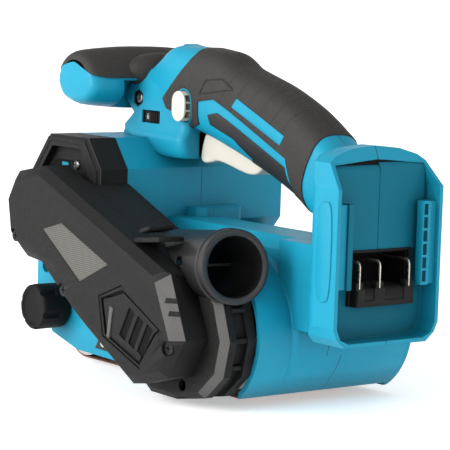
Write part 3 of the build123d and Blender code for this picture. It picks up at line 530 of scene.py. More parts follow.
def inset(outline, amount):
    """Closed outline drawn in by an exact distance; the outline runs clockwise."""
    count, moved = len(outline), []
    for k in range(count):
        (ax, az), (bx, bz), (cx, cz) = outline[k - 1], outline[k], outline[(k + 1) % count]
        u = Vector((bx - ax, bz - az)).normalized()
        v = Vector((cx - bx, cz - bz)).normalized()
        across = Vector((u.y, -u.x)) + Vector((v.y, -v.x))
        half = across.length_squared / 2
        moved.append((bx + across.x * amount / half, bz + across.y * amount / half))
    return moved


def outwards(points, amount):
    """A quad (x, y, z) moved along its own normal, to the left."""
    a, b, c = (Vector(p) for p in points[:3])
    normal = (b - a).cross(c - b).normalized()
    if normal.y < 0:
        normal.negate()
    return [tuple(Vector(p) + normal * amount) for p in points]


def rounded(outline):
    """Outline with its corners cut off twice: soft, but it keeps its flats."""
    for _ in range(2):
        cut = []
        for k, (ax, az) in enumerate(outline):
            bx, bz = outline[(k + 1) % len(outline)]
            cut.append((0.78 * ax + 0.22 * bx, 0.78 * az + 0.22 * bz))
            cut.append((0.22 * ax + 0.78 * bx, 0.22 * az + 0.78 * bz))
        outline = cut
    return outline


def block(name, x0, x1, y0, y1, z0, z1):
    """Plain box."""
    return prism(name, [(x0, z0), (x1, z0), (x1, z1), (x0, z1)], y0, y1)


def tube_y(name, x, z, radius, y0, y1, sides=48):
    """Solid cylinder along Y."""
    return prism(name, circle(x, z, radius, sides), y0, y1)


def plate_x(name, outline, x0, x1):
    """Rear-view outline (y, z) carried along X."""
    return loft(name, [[(x0, y, z) for y, z in outline], [(x1, y, z) for y, z in outline]])


def copy_node(name, node):
    """A copy of a CAD node's mesh, to be cut and softened."""
    obj = nodes[node].copy()
    obj.data = nodes[node].data.copy()
    obj.name = name
    for key in list(obj.keys()):
        del obj[key]
    show(obj)
    mesh = bmesh.new()
    mesh.from_mesh(obj.data)
    bmesh.ops.remove_doubles(mesh, verts=mesh.verts, dist=1e-6)
    bmesh.ops.dissolve_limit(mesh, angle_limit=0.01, verts=mesh.verts, edges=mesh.edges)
    mesh.to_mesh(obj.data)
    mesh.free()
    return obj


def middle_and_half(node):
    """Middle of a CAD node's box and half its size."""
    low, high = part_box(node)
    return ([(a + b) / 2 / MM for a, b in zip(low, high)],
            [(b - a) / 2 / MM for a, b in zip(low, high)])


def bevel_strip(name, outline, first, last, width, y_out, proud=0.35):
    """Thin skin laid on the chamfer between two corners of an outline."""
    inner = inset(outline, width)
    low = [(x, y_out - width, z) for x, z in outline[first:last + 1]]
    high = [(x, y_out, z) for x, z in inner[first:last + 1]]
    count = len(low)
    faces = [(k, k + 1, count + k + 1, count + k) for k in range(count - 1)]
    obj = new_object(name, low + high, faces)
    step = obj.modifiers.new("thick", "SOLIDIFY")
    step.thickness = 2 * proud * MM
    step.offset = 0.0
    place(settle(obj), worn_black, "black_plastic")


def screw_head(name, x, z, y, radius, height):
    """Pan head with a cross recess, facing left."""
    profile = [(radius, 0.0), (radius, height * 0.45), (radius * 0.86, height * 0.8),
               (radius * 0.6, height), (0.02, height)]
    head = loft(name, [[(a, y + h, b) for a, b in circle(x, z, r, 36)] for r, h in profile])
    arm, half = radius * 0.62, radius * 0.13
    carve(head, block("cut", x - arm, x + arm, y + height * 0.35, y + 9, z - half, z + half),
          block("cut", x - half, x + half, y + height * 0.35, y + 9, z - arm, z + arm))
    place(head, dark_steel, "screw_steel")


# ---------------------------------------- rear handle
# x, top, bottom, half width of the grip, from the battery mount to the neck
GRIP = [(-154, 145.5, 88, 19.5), (-138, 152.6, 101, 18.4), (-127, 160.0, 108.6, 17.9),
        (-112, 169.3, 118.2, 17.8), (-99, 175.8, 124.2, 17.5), (-80, 183.4, 131.4, 17.0),
        (-54, 190.9, 139.6, 16.6), (-46, 193.4, 142.0, 16.8), (-40, 196.8, 143.8, 17.2),
        (-33, 200.0, 146.0, 17.7), (-22, 201.6, 149.0, 18.1), (-8, 202.8, 151.8, 18.3),
        (4, 203.3, 152.0, 18.2), (12, 203.7, 152.0, 17.9), (19, 202.0, 152.0, 17.4),
        (26, 197.0, 152.0, 16.8), (38, 189.2, 153.0, 16.4), (50, 184.6, 158.0, 16.0)]


def grip(name, grow, first=-154.0, last=50.0, steps=72):
    """The grip's own volume, grown by an amount, between two places along X."""
    rings = []
    for step in range(steps + 1):
        x = first + (last - first) * step / steps
        top, bottom, half = (between(GRIP, x, column) for column in (1, 2, 3))
        middle = (top + bottom) / 2
        rings.append([(x, HANDLE_Y + a, middle + b) for a, b in
                      oval(half + grow, (top - bottom) / 2 + grow, 3.1, 56)])
    return loft(name, rings)


# Side-view outlines (x, z): reach of the grip's rubber, its smooth panel, the coloured stripe,
# the badge and the slot the trigger moves in.
RUBBER_REACH = [(-131.5, 170), (-129, 156), (-127, 148), (-123, 139), (-120.3, 131), (-120, 124),
                (-121.5, 95), (-96, 95), (-110, 124.5), (-106.4, 137.5), (-104.6, 143.4),
                (-53.8, 165.1), (-34.8, 173.2), (-20.4, 171), (-19.5, 157), (-3.3, 152.6),
                (5.6, 156), (11.3, 162.8), (16.0, 170.8), (6.9, 179.4), (-1.3, 187), (-7.6, 193.4),
                (-11.5, 199), (-14.5, 215), (-131.5, 215)]
PANEL = [(-29.5, 163.4), (-38.5, 165.2), (-103.4, 138.2), (-105.3, 131), (-112, 121), (-106, 100),
         (-70, 118), (-66, 138.2), (-69.5, 140), (-58, 147), (-53, 150.4), (-31.5, 157.6)]
STRIPE = [(-56.5, 175.0), (-103.3, 156.2), (-99.6, 150.4), (-52.0, 169.5)]
BADGE = [(-27.6, 184.3), (-43.0, 185.9), (-53.0, 179.6), (-21.9, 175.2)]
TRIGGER_SLOT = [(-76, 118), (-76, 156), (-8.0, 158.5), (-8.0, 118)]
(LOCK_X, _, LOCK_Z), (LOCK_W, _, LOCK_H) = middle_and_half("lock_button")


def through(outline, y0=-60, y1=90):
    """Outline carried across the whole handle."""
    return prism("cut", outline, y0, y1)


def trigger_slot():
    """Slot that the trigger moves in."""
    return prism("cut", TRIGGER_SLOT, HANDLE_Y - SLOT_HALF, HANDLE_Y + SLOT_HALF)


def lock_hole(grow):
    """Lock button's outline, grown by an amount, as a cutter."""
    return through(pill(LOCK_X, LOCK_Z, LOCK_W + grow, LOCK_H + grow), y1=80)


def dial_room():
    """Upright cylinder a little larger than the speed dial."""
    (x, y, _), (radius, _, _) = middle_and_half("speed_dial")
    ring = circle(x, y, radius + 0.45, 72)
    return loft("dial_room", [[(a, b, z) for a, b in ring] for z in (154.7, 162.3)])


def rear_handle():
    """Moulding, rubber skin, smooth panel, stripe and the rim round the lock button."""
    body = grip("handle_body", 0.0)
    carve(body, trigger_slot(), lock_hole(0.55), block("cut", -165, -126, -14, 32, 60, 96.6),
          dial_room())
    place(soften(body, 0.4, 1), blue, "blue_housing")

    cover = grip("handle_rubber", 0.75)
    trim(cover, through(RUBBER_REACH, -29, 51))
    carve(cover, lock_hole(1.7), trigger_slot(), through(STRIPE))
    groove = through(BADGE)
    carve(groove, through(shrink(BADGE, 1.4), -61, 91), grip("cut", 0.3))
    carve(cover, groove)
    place(soften(cover, 0.45, 2), grooved_rubber, "grip_rubber",
          replaces=("grip_rubber_left", "grip_rubber_right"))

    panel = trim(grip("handle_panel", 0.45), through(PANEL, -29, 51))
    carve(panel, trigger_slot())
    place(soften(panel, 0.3, 2), dark, "grip_rubber")

    stripe = trim(grip("handle_stripe", 0.9), through(shrink(STRIPE, 0.15)))
    place(soften(stripe, 0.3, 2), blue_plain, "blue_housing")

    rim = trim(grip("lock_rim", 0.95, -30, 20, 24), lock_hole(1.6))
    carve(rim, lock_hole(0.6), block("cut", -40, 40, -60, HANDLE_Y + 12, 100, 260))
    place(soften(rim, 0.25, 2), blue_plain, "blue_housing")


rear_handle()


# ---------------------------------------- front bar
# Section (x, z), and for one half of the bar: place along it, change of the section there.
BAR_SECTION = [(42, 173), (42.6, 181), (47.5, 190), (57.5, 197.3), (71.5, 197.3), (82.5, 189.5),
               (86.2, 178), (80.8, 168.2), (66, 163.4), (50, 165.6)]
BAR_ENDS = [(51.6, -6.0), (51.0, -4.0), (49.6, -2.2), (47.0, -0.9), (43.0, 0.1), (36.0, 0.9),
            (28.0, 1.6), (18.0, 2.3), (8.0, 2.6)]


def bar(name, grow):
    """The front bar's own volume, grown by an amount."""
    rings = []
    for y, swell in BAR_ENDS + [(-y, swell) for y, swell in BAR_ENDS[::-1]]:
        more = swell + grow
        rings.append([(x + more * (x - BAR_X) / 22, HANDLE_Y + y, z + more * (z - BAR_Z) / 18)
                      for x, z in rounded(BAR_SECTION)])
    return loft(name, rings)


def bar_reach():
    """What the rubber covers: all above a line that peaks in the middle of the bar."""
    return prism("reach", [(20, 181.4), (41.6, 181.8), (62.4, 190.0), (65.2, 190.6), (68, 190.2),
                           (80.4, 187.2), (86, 183), (110, 181), (110, 240), (20, 240)], -90, 110)


def waist_cut():
    """Waist under and behind the bar, on both sides of the neck."""
    outline = [(20, 149), (54.6, 149), (57.1, 158), (57.1, 172.6), (52.8, 180.4), (20, 180.4)]
    return prism("waist", outline, HANDLE_Y - WAIST_HALF, HANDLE_Y + WAIST_HALF)


def front_handle():
    """Moulding, rubber skin, a dome behind the bar's middle, five thin ribs near its left end."""
    body = carve(bar("front_bar_body", 0.0), waist_cut())
    place(soften(body, 0.6, 2, 50), blue, "blue_housing", smooth=50)
    skin = trim(carve(bar("front_bar_rubber", 1.0), waist_cut()), bar_reach())
    place(soften(skin, 0.5, 2), rubber, "grip_rubber", replaces=("front_grip_rubber",), smooth=50)
    rings = []
    for step in range(1, 24):
        angle = math.pi * step / 24
        wide, high = 13.5 * math.sin(angle), 11.5 * math.sin(angle)
        rings.append([(46.5 + wide * a, HANDLE_Y - 25 * math.cos(angle), 186.0 + high * b)
                      for a, b in circle(0.0, 0.0, 1.0, 40)])
    place(loft("bar_dome", rings), rubber, "grip_rubber", smooth=50)
    for k in range(5):
        y = HANDLE_Y + BAR_HALF - 4.5 - 2.6 * k
        ridge = trim(bar("bar_ridge_%d" % k, 1.45),
                     prism("reach", [(76, 172), (110, 172), (110, 194), (74, 194)],
                           y - 0.6, y + 0.6))
        place(soften(ridge, 0.25, 1), rubber, "grip_rubber")


front_handle()


# ---------------------------------------- neck, dial window, screw
# height, rear x, front x, half width
NECK = [(135.0, -8.4, 15, 17.4), (136.0, -8.6, 20, 18.6), (138.5, -8.7, 26, 19.9),
        (142.0, -8.6, 36, 20.7), (145.8, -8.5, 46, 21.2), (147.4, -8.5, 50, 21.0),
        (149.5, -8.5, 54, 19.6), (152.5, -8.5, 56.2, 18.2), (156.4, -8.5, 51.4, 17.9),
        (160.2, -8.5, 46.9, 17.9), (164.9, -8.4, 52.2, 17.9), (169.6, -8.3, 57.4, 17.9),
        (173.0, -8.0, 55.6, 17.6), (177.0, -6, 53.6, 17.2),
        (181.0, 2, 51.0, 16.4), (185.0, 10, 43.0, 15.0), (188.0, 16, 36.0, 13.0)]
WINDOW = (18.6, 37.2, 154.6, 162.4)  # x and z of the dial's window
HEX_X, HEX_Z = 42.0, 169.3           # middle of the six-sided screw recess


def neck():
    """Column with the dial's window and a six-sided recess, both lined, and the recess's screw."""
    rings = []
    for z, rear, front, half in NECK:
        corner, nose = 5.5, 5.5 if z < 149 else 1.6
        ring = []
        for start, x, y, r in ((0, front - nose, half - nose, nose),
                               (90, rear + corner, half - corner, corner),
                               (180, rear + corner, corner - half, corner),
                               (270, front - nose, nose - half, nose)):
            for k in range(9):
                angle = math.radians(start + 90 * k / 8)
                ring.append((x + r * math.cos(angle), HANDLE_Y + y + r * math.sin(angle), z))
        rings.append(ring)
    column = loft("neck_body", rings)
    x0, x1, z0, z1 = WINDOW
    hexagon = [(HEX_X + 5.6 * math.cos(math.radians(60 * k + 30)),
                HEX_Z + 5.6 * math.sin(math.radians(60 * k + 30))) for k in range(6)]
    carve(column, trigger_slot(), lock_hole(0.55),
          block("cut", x0, x1, HANDLE_Y + 13.5, 60, z0, z1),
          block("cut", x0 - 6, x1, -10, HANDLE_Y + 13.6, z0, z1),
          prism("cut", hexagon, HANDLE_Y + 12.5, 60), dial_room())
    place(soften(column, 0.35, 1, 40), blue, "blue_housing", smooth=40)

    lining = prism("hex_lining", hexagon, HANDLE_Y + 16.35, HANDLE_Y + 17.5)
    carve(lining, tube_y("cut", HEX_X, HEX_Z, 4.1, HANDLE_Y + 10, 60))
    place(soften(lining, 0.2, 1), black, "black_plastic")
    # The recess's floor is painted shade: a near-black disc under the screw.
    floor = tube_y("hex_floor", HEX_X, HEX_Z, 4.3, HANDLE_Y + 15.5, HANDLE_Y + 16.6)
    place(floor, painted_shade_black, "black_plastic")
    screw_head("neck_screw", HEX_X, HEX_Z, HANDLE_Y + 16.5, 3.1, 0.9)

    frame_ring = block("dial_surround", x0 + 0.2, x1 - 0.2, HANDLE_Y + 13.6, HANDLE_Y + 16.6,
                       z0 + 0.2, z1 - 0.2)
    carve(frame_ring, block("cut", x0 + 1.0, x1 - 1.0, HANDLE_Y + 10, 60, z0 + 1.0, z1 - 1.0),
          dial_room())
    place(soften(frame_ring, 0.3, 2), black, "black_plastic")


neck()


def dial():
    """Thumbwheel with ribs on its rim, a smooth patch at the window, and raised numbers."""
    (x, y, _), (radius, _, _) = middle_and_half("speed_dial")
    z, ribs, ring = 158.5, 60, []
    window = 84  # degrees: where the number in the window stands
    radius -= 0.02
    for k in range(ribs * 4):
        angle = math.tau * k / (ribs * 4)
        away = (angle - math.radians(window) + math.pi) % math.tau - math.pi
        depth = 0.75 if k % 4 in (0, 1) and abs(away) > math.radians(11) else 0.0
        ring.append((x + (radius - depth) * math.cos(angle),
                     y + (radius - depth) * math.sin(angle)))
    wheel = loft("dial_wheel", [[(a, b, z + c) for a, b in ring] for c in (-3.3, 3.3)])
    place(wheel, black, "dial_plastic", "dial", ("speed_dial",), smooth=20)
    for step, digit in enumerate("654321"):
        angle = math.radians(window - 41 * step)
        text = bpy.data.curves.new("number", "FONT")
        text.body = digit
        text.size = 5.4 * MM
        text.extrude = 0.12 * MM
        text.align_x = text.align_y = "CENTER"
        made = show(bpy.data.objects.new("number", text))
        facing, upright = Vector((math.cos(angle), math.sin(angle), 0)), Vector((0, 0, 1))
        turn = Matrix((upright.cross(facing), upright, facing)).transposed().to_4x4()
        made.matrix_world = Matrix.Translation(Vector((x, y, z)) * MM
                                               + facing * (radius - 0.06) * MM) @ turn
        mesh = finished_mesh(made)
        mesh.transform(made.matrix_world)
        bpy.data.objects.remove(made)
        digit_piece = show(bpy.data.objects.new("dial_number_%s" % digit, mesh))
        place(digit_piece, cream, "cream_plastic", "dial")


dial()


# ---------------------------------------- trigger and lock
def trigger_piece():
    """Finger lever with rounded edges."""
    outline = [(-13.5, 151.8), (-10.6, 144.5), (-8.9, 137), (-10.0, 133.9), (-13, 132.7),
               (-18, 133.2), (-25, 135.2), (-33, 134.2), (-49, 130.6), (-57, 129.3), (-64, 130),
               (-69.6, 133.4), (-72.3, 137.9), (-71.9, 144.3), (-64, 144.7), (-53, 143.9),
               (-34, 148.8), (-24, 151.8)]
    lever = prism("trigger_lever_piece", rounded(outline), HANDLE_Y - 6.5, HANDLE_Y + 6.5)
    place(soften(lever, 1.6, 4, 35), cream, "cream_plastic", "trigger_lever", ("trigger",), 60)


def lock_piece():
    """Lock button with three slots in its rear side, and a dark liner of painted shade in them."""
    button = prism("lock_button_piece", pill(LOCK_X, LOCK_Z, LOCK_W, LOCK_H, 14),
                   HANDLE_Y - 15, HANDLE_Y + 23)
    for step in range(3):
        z = LOCK_Z - 6.9 + 4.9 * step
        carve(button, block("cut", LOCK_X - 9, LOCK_X + 1.0, HANDLE_Y + 17.2, HANDLE_Y + 21.9,
                            z, z + 3.9))
    place(soften(button, 0.6, 3), cream, "cream_plastic", "lock", ("lock_button",), 50)
    comb = [(LOCK_X + 1.6, LOCK_Z - 7.2)]
    for step in range(3):
        z = LOCK_Z - 6.7 + 4.9 * step
        comb += [(LOCK_X + 1.2, z), (LOCK_X - 0.4, z), (LOCK_X - 0.4, z + 3.5),
                 (LOCK_X + 1.2, z + 3.5)]
    comb.append((LOCK_X + 1.6, LOCK_Z + 7.2))
    # Painted shade: a near-black comb that fills the back of the three slots.
    liner = prism("lock_slot_liner", comb, HANDLE_Y + 17.4, HANDLE_Y + 21.7)
    place(liner, painted_shade_black, "black_plastic", "lock")


trigger_piece()
lock_piece()


# ---------------------------------------- drum hood and mount
def hood_crescent():
    """Raised skin on the hood that fades out at both ends."""
    rings = []
    steps = 40
    for step in range(steps + 1):
        share = step / steps
        angle = math.radians(104 + share * 112)
        rise = 0.15 + 2.9 * math.sin(math.pi * share) ** 0.8
        edge = 36.0 + 1.5 * math.sin(math.pi * share)
        ring = []
        for y, lift in ((-52, -3), (-52, 0.1), (-40, rise), (edge - 3.4, rise),
                        (edge - 2.9, rise - 0.12), (edge, 0.05), (edge, -3)):
            r = HOOD_R + lift
            ring.append((HOOD_X + r * math.cos(angle), y, HOOD_Z + r * math.sin(angle)))
        rings.append(ring)
    place(loft("hood_crescent", rings), blue, "blue_housing", smooth=35)


def flank_pads():
    """Long oval pad on each side of the battery mount."""
    outline = rounded([(-172.8, 72), (-166, 69), (-160.8, 74), (-160.8, 121), (-164, 125.5),
                       (-172.8, 125.5)])
    for side, face, out in (("left", HANDLE_Y + 39, 0.8), ("right", HANDLE_Y - 39, -0.8)):
        y0, y1 = sorted((face - 2 * out, face + out))
        place(soften(prism("mount_pad_" + side, outline, y0, y1), 0.45, 2), blue_plain,
              "blue_housing", smooth=45)


def recess_details():
    """Raised panel halves with a rounded top, the liner under them, the flange round the terminals
    and the dark gap above; panels and liner are painted shade in a darker blue, the gap a near-black
    sheet of painted shadow."""
    back = MOUNT_X + 13
    for side, (y0, y1), top in (("left", (11.15, 45.2), 145.2), ("right", (-23.2, 10.85), 146.6)):
        # Painted shade: the panels are a darker blue.
        panel = loft("recess_panel_" + side, [[(x, y, z) for x, z in
                     ((back + 0.3, 96.6), (back - 2.6, 97), (back - 2.6, top - 5.0),
                      (back - 2.3, top - 3.0), (back - 1.5, top - 1.2), (back + 0.3, top))]
                     for y in (y0, y1)])
        place(panel, blue_painted_shade, "blue_housing", smooth=40)
    # Painted shade: the liner on the recess's back is a darker blue.
    floor = plate_x("recess_liner", [(-15.6, 47.7), (37.6, 47.7), (43.4, 50.4), (46.5, 56.2),
                                     (46.8, 139.6), (-24.8, 139.6), (-24.5, 56.2), (-21.4, 50.4)],
                    back - 0.7, back + 0.3)
    carve(floor, block("cut", back - 5, back + 5, -13.3, 30.3, 65.6, 96.3))
    place(floor, blue_painted_shade, "blue_housing")
    flange = plate_x("terminal_flange", [(-14.5, 66), (31.5, 66), (31.5, 97.4), (-14.5, 97.4)],
                     back - 3.2, back - 0.6)
    carve(flange, block("cut", back - 9, back + 5, -12.9, 29.9, 60, 96.1))
    place(soften(flange, 0.3, 1), black, "black_plastic")
    # Painted shadow: a near-black sheet under the recess's top edge.
    gap = plate_x("recess_gap", [(-24.6, 141), (46.6, 141), (46.2, 144.2), (29, 146.3), (11, 147.4),
                                 (-7, 146.3), (-24.2, 144.2)], back - 0.6, back + 0.3)
    place(gap, painted_shade_black, "black_plastic")


def rails():
    """Faces of the two battery rails; the right one has six windows with painted shade behind them,
    and the left one is painted shade in a darker blue.
    """
    front, back, low, high = MOUNT_X + 1.4, MOUNT_X + 6.9, 76.6, 124.4
    inner = HANDLE_Y - 25.8
    right = block("rail_right", front, back, HANDLE_Y - 31.6, inner, low, high)
    # Painted shade: a dark blue floor behind the right rail's windows.
    place(block("rail_pockets", MOUNT_X + 2.3, MOUNT_X + 3.0, inner - 4.0, inner - 0.8, 78.2, 123.2),
          blue_painted_pocket_shade, "blue_housing")
    for step in range(6):
        z = 78.6 + 7.6 * step
        carve(right, block("cut", MOUNT_X - 2, MOUNT_X + 9, inner - 3.9, inner - 0.9, z, z + 6.1))
    place(soften(right, 0.3, 1), blue_plain, "blue_housing", smooth=40)
    # Painted shade: the left rail is a darker blue.
    left = block("rail_left", front, back, HANDLE_Y + 25.8, HANDLE_Y + 29.6, low, high)
    place(soften(left, 0.3, 1), blue_painted_shade, "blue_housing", smooth=40)


def terminals():
    """Black pocket with its lining of painted shade, three bent contacts on posts, and a stepped
    sill.
    """
    base = copy_node("terminal_base", "terminal_block")
    low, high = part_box("terminal_block")
    y0, y1 = low.y / MM, high.y / MM
    # The copy is a hair narrower than the block, about the block's own middle.
    base.scale = (1.0, 0.992, 1.0)
    base.location.y = (y0 + y1) / 2 * 0.008 * MM
    bpy.context.view_layer.update()
    base.data.transform(base.matrix_world)
    base.matrix_world = Matrix.Identity(4)
    place(base, black, "black_plastic", replaces=("terminal_block",))
    rear = low.x / MM
    # Painted shade: a near-black lining inside the pocket.
    lining = block("terminal_lining", rear + 7.4, rear + 27.6, y0 + 0.1, y1 - 0.1, 75.6, 95.95)
    carve(lining, block("cut", rear, rear + 25.4, y0 + 1.2, y1 - 1.2, 70, 95.0))
    place(lining, painted_shade_black, "black_plastic")
    for blade in BLADES:
        post = block("terminal_post_%d" % abs(blade), rear - 0.4, rear + 4.6, blade - 2.6,
                     blade + 2.6, 75.2, 80.0)
        carve(post, block("cut", rear - 2, rear + 6, blade - 0.55, blade + 0.55, 70, 90))
        place(soften(post, 0.4, 2), black, "black_plastic")
    for number, blade in enumerate(BLADES):
        outer = [(rear - 0.4, 70.2), (rear - 0.4, 88.6), (rear + 0.4, 90.8), (rear + 2.4, 91.9),
                 (rear + 25.4, 91.9), (rear + 25.4, 90.3), (rear + 3.0, 90.3), (rear + 1.6, 89.2),
                 (rear + 1.4, 87.4), (rear + 1.4, 70.2)]
        strip = prism("contact_%d" % number, outer, blade - 0.4, blade + 0.4)
        place(soften(strip, 0.15, 1), contact, "contact",
              replaces=("terminal_blades",) if number == 0 else (), smooth=50)
    sill = block("terminal_sill", rear - 0.5, rear + 1.3, y0 + 0.6, y1 - 0.6, 66.4, 76.2)
    for first, last in ((-5.2, 9.2), (16.8, 24.2)):
        carve(sill, block("cut", rear - 2, rear + 0.8, first, last, 69.4, 75.2),
              block("cut", rear - 2, rear + 2, first, last, 73.4, 78))
    place(soften(sill, 0.4, 2), black, "black_plastic")


hood_crescent()
flank_pads()
recess_details()
rails()
terminals()


# ---------------------------------------- drive cover
# Outline (x, z) of the motor cap's rim, its left face, and the bevel on the cover's tail.
CAP_RIM = [(12.0, 94.2), (12.0, 127.9), (26.2, 146), (67.0, 146), (88.0, 119.4), (88.0, 86),
           (24, 86), (20.9, 86)]
CAP_LEFT = CASE_LEFT - 5.0
TAIL_BEVEL = [(-86.0, 105.7, 73.6), (-101.2, 105.7, 42.4), (-108.9, 99.6, 43.0),
              (-93.2, 99.6, 78.8)]


def vent_field():
    """Raised border, panel with three slanted vents and a bent rib on the cover's tail; the vents'
    floors are painted shade.
    """
    y = COVER_LEFT
    outer = [(-31, 58.6), (-54, 67.6), (-94.5, 47.2), (-89.8, 43.2), (-74.2, 22.4), (-36, 36.4)]
    border = prism("vent_border", outer, y - 1.9, y - 0.4)
    carve(border, prism("cut", shrink(outer, 2.3), y - 5, y + 2))
    place(soften(border, 0.3, 2), black, "black_plastic")
    panel = prism("vent_panel", shrink(outer, 4.4), y - 1.9, y - 0.9)
    for step in range(3):
        x, drop = -57.0 - 9 * step, 3.5 * step
        slit = [(x - 0.8, 36.2 - drop), (x + 5.0, 39.0 - drop), (x - 4.2, 56.0 - drop),
                (x - 10.0, 53.2 - drop)]
        carve(panel, prism("cut", slit, y - 6, y + 2))
        # Painted shade: a near-black floor under each vent.
        place(prism("vent_floor_%d" % step, slit, y - 1.95, y - 1.7), painted_shade_black, "black_plastic")
    place(soften(panel, 0.3, 2), black, "black_plastic")
    hook = prism("vent_hook", [(-46, 53.2), (-42.4, 54.6), (-39.8, 36.2), (-42.6, 35.2),
                               (-45.0, 50.2)], y - 1.9, y - 0.3)
    place(soften(hook, 0.25, 1), worn_black, "black_plastic")


def cover_trim():
    """Cover with a wide bevel on its tail, the light textured skin on that bevel, and the
    same skin on the edge of the motor cap."""
    cover = copy_node("cover_piece", "drive_cover")
    wide = [Vector(p) for p in TAIL_BEVEL]
    middle = sum(wide, Vector((0, 0, 0))) / 4
    wide = [tuple(middle + (p - middle) * 1.6) for p in wide]
    carve(cover, loft("cut", [outwards(wide, 0.0), outwards(wide, 14.0)]))
    place(cover, black, "black_plastic", replaces=("drive_cover",), smooth=25)
    skin = loft("cover_tail_bevel", [outwards(TAIL_BEVEL, -0.4), outwards(TAIL_BEVEL, 0.3)])
    for z in (56.0, 63.0):
        carve(skin, block("cut", -116, -97.5 + (z - 56) * 0.5, 90, 110, z, z + 2.8))
    place(skin, worn_black, "black_plastic")
    bevel_strip("cap_edge_bevel", CAP_RIM, 0, 2, 2.6, CAP_LEFT, 0.3)


vent_field()
cover_trim()


# ---------------------------------------- motor cap and gear case
def cap_details():
    """Slot of painted shade with a small tab, a cross-head screw and a raised lip on the motor cap's
    face.
    """
    y = CAP_LEFT - 5.1
    # Painted shade: the slot is a near-black piece on the cap's face.
    slot = prism("cap_slot", [(45.6, 130.6), (64, 130.6), (69, 126.6), (69, 124.4), (64, 125.6),
                              (45.6, 126.8)], y - 0.4, y + 0.5)
    place(soften(slot, 0.2, 1), painted_shade_black, "black_plastic")
    tab = prism("cap_tab", [(50, 129.4), (57, 129.4), (57, 127.0), (50, 127.0)], y + 0.4, y + 0.9)
    place(soften(tab, 0.2, 1), blue_plain, "blue_housing")
    screw_head("cap_screw", 41.0, 128.4, y, 2.9, 1.6)
    lip = prism("cap_rim", shrink(CAP_RIM, 1.6), CAP_LEFT - 0.3, CAP_LEFT + 0.3)
    carve(lip, prism("cut", shrink(CAP_RIM, 5.0), 70, 90), block("cut", -20, 120, 70, 90, 60, 112))
    place(soften(lip, 0.25, 1), black, "black_plastic")


def case_details():
    """Light bevel and three lugs on the rear of the gear case."""
    rim = [(-50.8, 3.3), (-76.5, 3), (-103, 7.8), (-119, 22), (-124, 43), (-116, 66), (-98, 78),
           (11, 119), (60, 120), (66, 86)]
    bevel_strip("case_tail_bevel", rim, 2, 6, 4.0, CASE_LEFT)
    for k, (x, z) in enumerate(((-117.5, 60.0), (-121.0, 43.0), (-117.0, 27.0))):
        lug = block("case_lug_%d" % k, x - 2.0, x + 12, 66.4, 75.4, z - 1.4, z + 1.4)
        place(soften(lug, 0.4, 1), black, "black_plastic")


cap_details()
case_details()


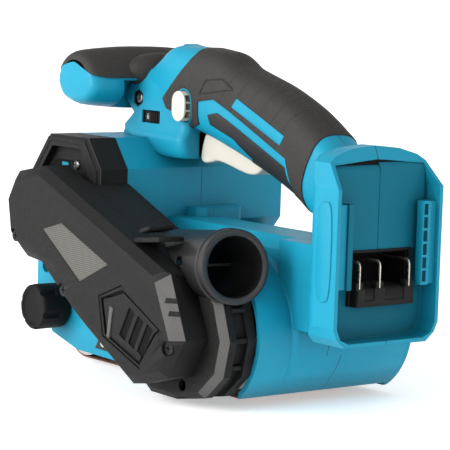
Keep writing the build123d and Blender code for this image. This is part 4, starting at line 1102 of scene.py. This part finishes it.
# ---------------------------------------- dust spout and knob
def spout_parts():
    """Bead, groove and rim at the spout's mouth, the groove a ring of painted shade, and two crossed
    ribs in its bore.
    """
    port = [m for m in frame["record"]["mounts"] if m["name"] == "dust_port"][0]
    out = Vector(port["axis"])
    mouth = Vector(SPOUT_MOUTH) * MM
    side = out.cross(Vector((0, 0, 1))).normalized()
    up = side.cross(out).normalized()

    def ring(name, profile, material):
        rings = []
        for along, radius in profile:
            rings.append([tuple((mouth - out * along * MM + (side * a + up * b) * radius * MM) / MM)
                          for a, b in circle(0.0, 0.0, 1.0, 64)])
        place(loft(name, rings, hollow=True), material, "spout_plastic", smooth=40)

    ring("spout_bead", [(5.6, 20.45), (5.6, 21.2), (6.2, 21.9), (7.6, 21.9), (8.2, 21.2),
                        (8.2, 20.45)], gloss_black)
    # Painted shade: the groove is a near-black ring.
    ring("spout_groove", [(2.2, 20.4), (2.2, 21.3), (5.5, 21.3), (5.5, 20.4)], painted_shade_black)
    ring("spout_rim", [(-0.05, 17.6), (-0.45, 18.2), (-0.45, 20.8), (0.2, 21.5), (1.0, 21.5),
                       (1.0, 17.6)], gloss_black)
    centre = mouth - out * 38 * MM
    for k, (wide, thin) in enumerate(((side, up), (up, side))):
        rings = [[tuple((centre - out * along * MM + wide * a * MM + thin * b * MM) / MM)
                  for a, b in ((-17.4, -0.8), (-17.4, 0.8), (17.4, 0.8), (17.4, -0.8))]
                 for along in (0, 14)]
        place(loft("spout_rib_%d" % k, rings), gloss_black, "spout_plastic")


def spout_brackets():
    """Two ribs that tie the root of the spout to the cover."""
    for k, (x0, x1, z0, z1) in enumerate(((-84, -57, 94.6, 97.6), (-74, -62, 100.4, 103.0))):
        rings = [[(x, y, z0 + 1), (x1, y, z0 - 2), (x1, y, z1 - 2), (x, y, z1 + 1)]
                 for x, y in ((x0, 84.2), (x0 + 3, 100.0))]
        place(soften(loft("spout_bracket_%d" % k, rings), 0.5, 2), black, "black_plastic")


def knob_piece():
    """Knob with six deep notches, a raised rim and a sunk disc."""
    low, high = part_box("tracking_knob")
    y0, y1 = low.y / MM, high.y / MM
    (x, _, z), _ = middle_and_half("tracking_knob")
    profile = [(13.2, y0), (14.2, y0 + 1.2), (14.5, y1 - 2.0), (14.2, y1 - 0.9), (13.3, y1),
               (11.6, y1), (11.0, y1 - 0.9), (0.02, y1 - 0.9)]
    knob = loft("tracking_knob_piece",
                [[(a, y, b) for a, b in circle(x, z, r, 72)] for r, y in profile])
    for notch in range(6):
        angle = math.radians(60 * notch + 15)
        carve(knob, tube_y("cut", x + 15.0 * math.cos(angle), z + 15.0 * math.sin(angle), 2.3,
                           y0 + 9, y1 + 2, 20))
    place(soften(knob, 0.3, 2, 35), matt_black, "black_plastic", "knob", ("tracking_knob",), 40)


spout_parts()
spout_brackets()
knob_piece()


# ---------------------------------------- side label
def label_marks():
    """Four plain discs with a thin raised rim on the dark side panel."""
    low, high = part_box("side_label")
    y, z = high.y / MM, low.z / MM + 6.0
    for k in range(4):
        x = high.x / MM - 8.5 - 8.2 * k
        disc = tube_y("label_disc_%d" % k, x, z, 2.9, y - 0.3, y + 0.12, 24)
        carve(disc, tube_y("cut", x, z, 2.2, y + 0.02, y + 1, 24))
        place(disc, cream, "label")


label_marks()
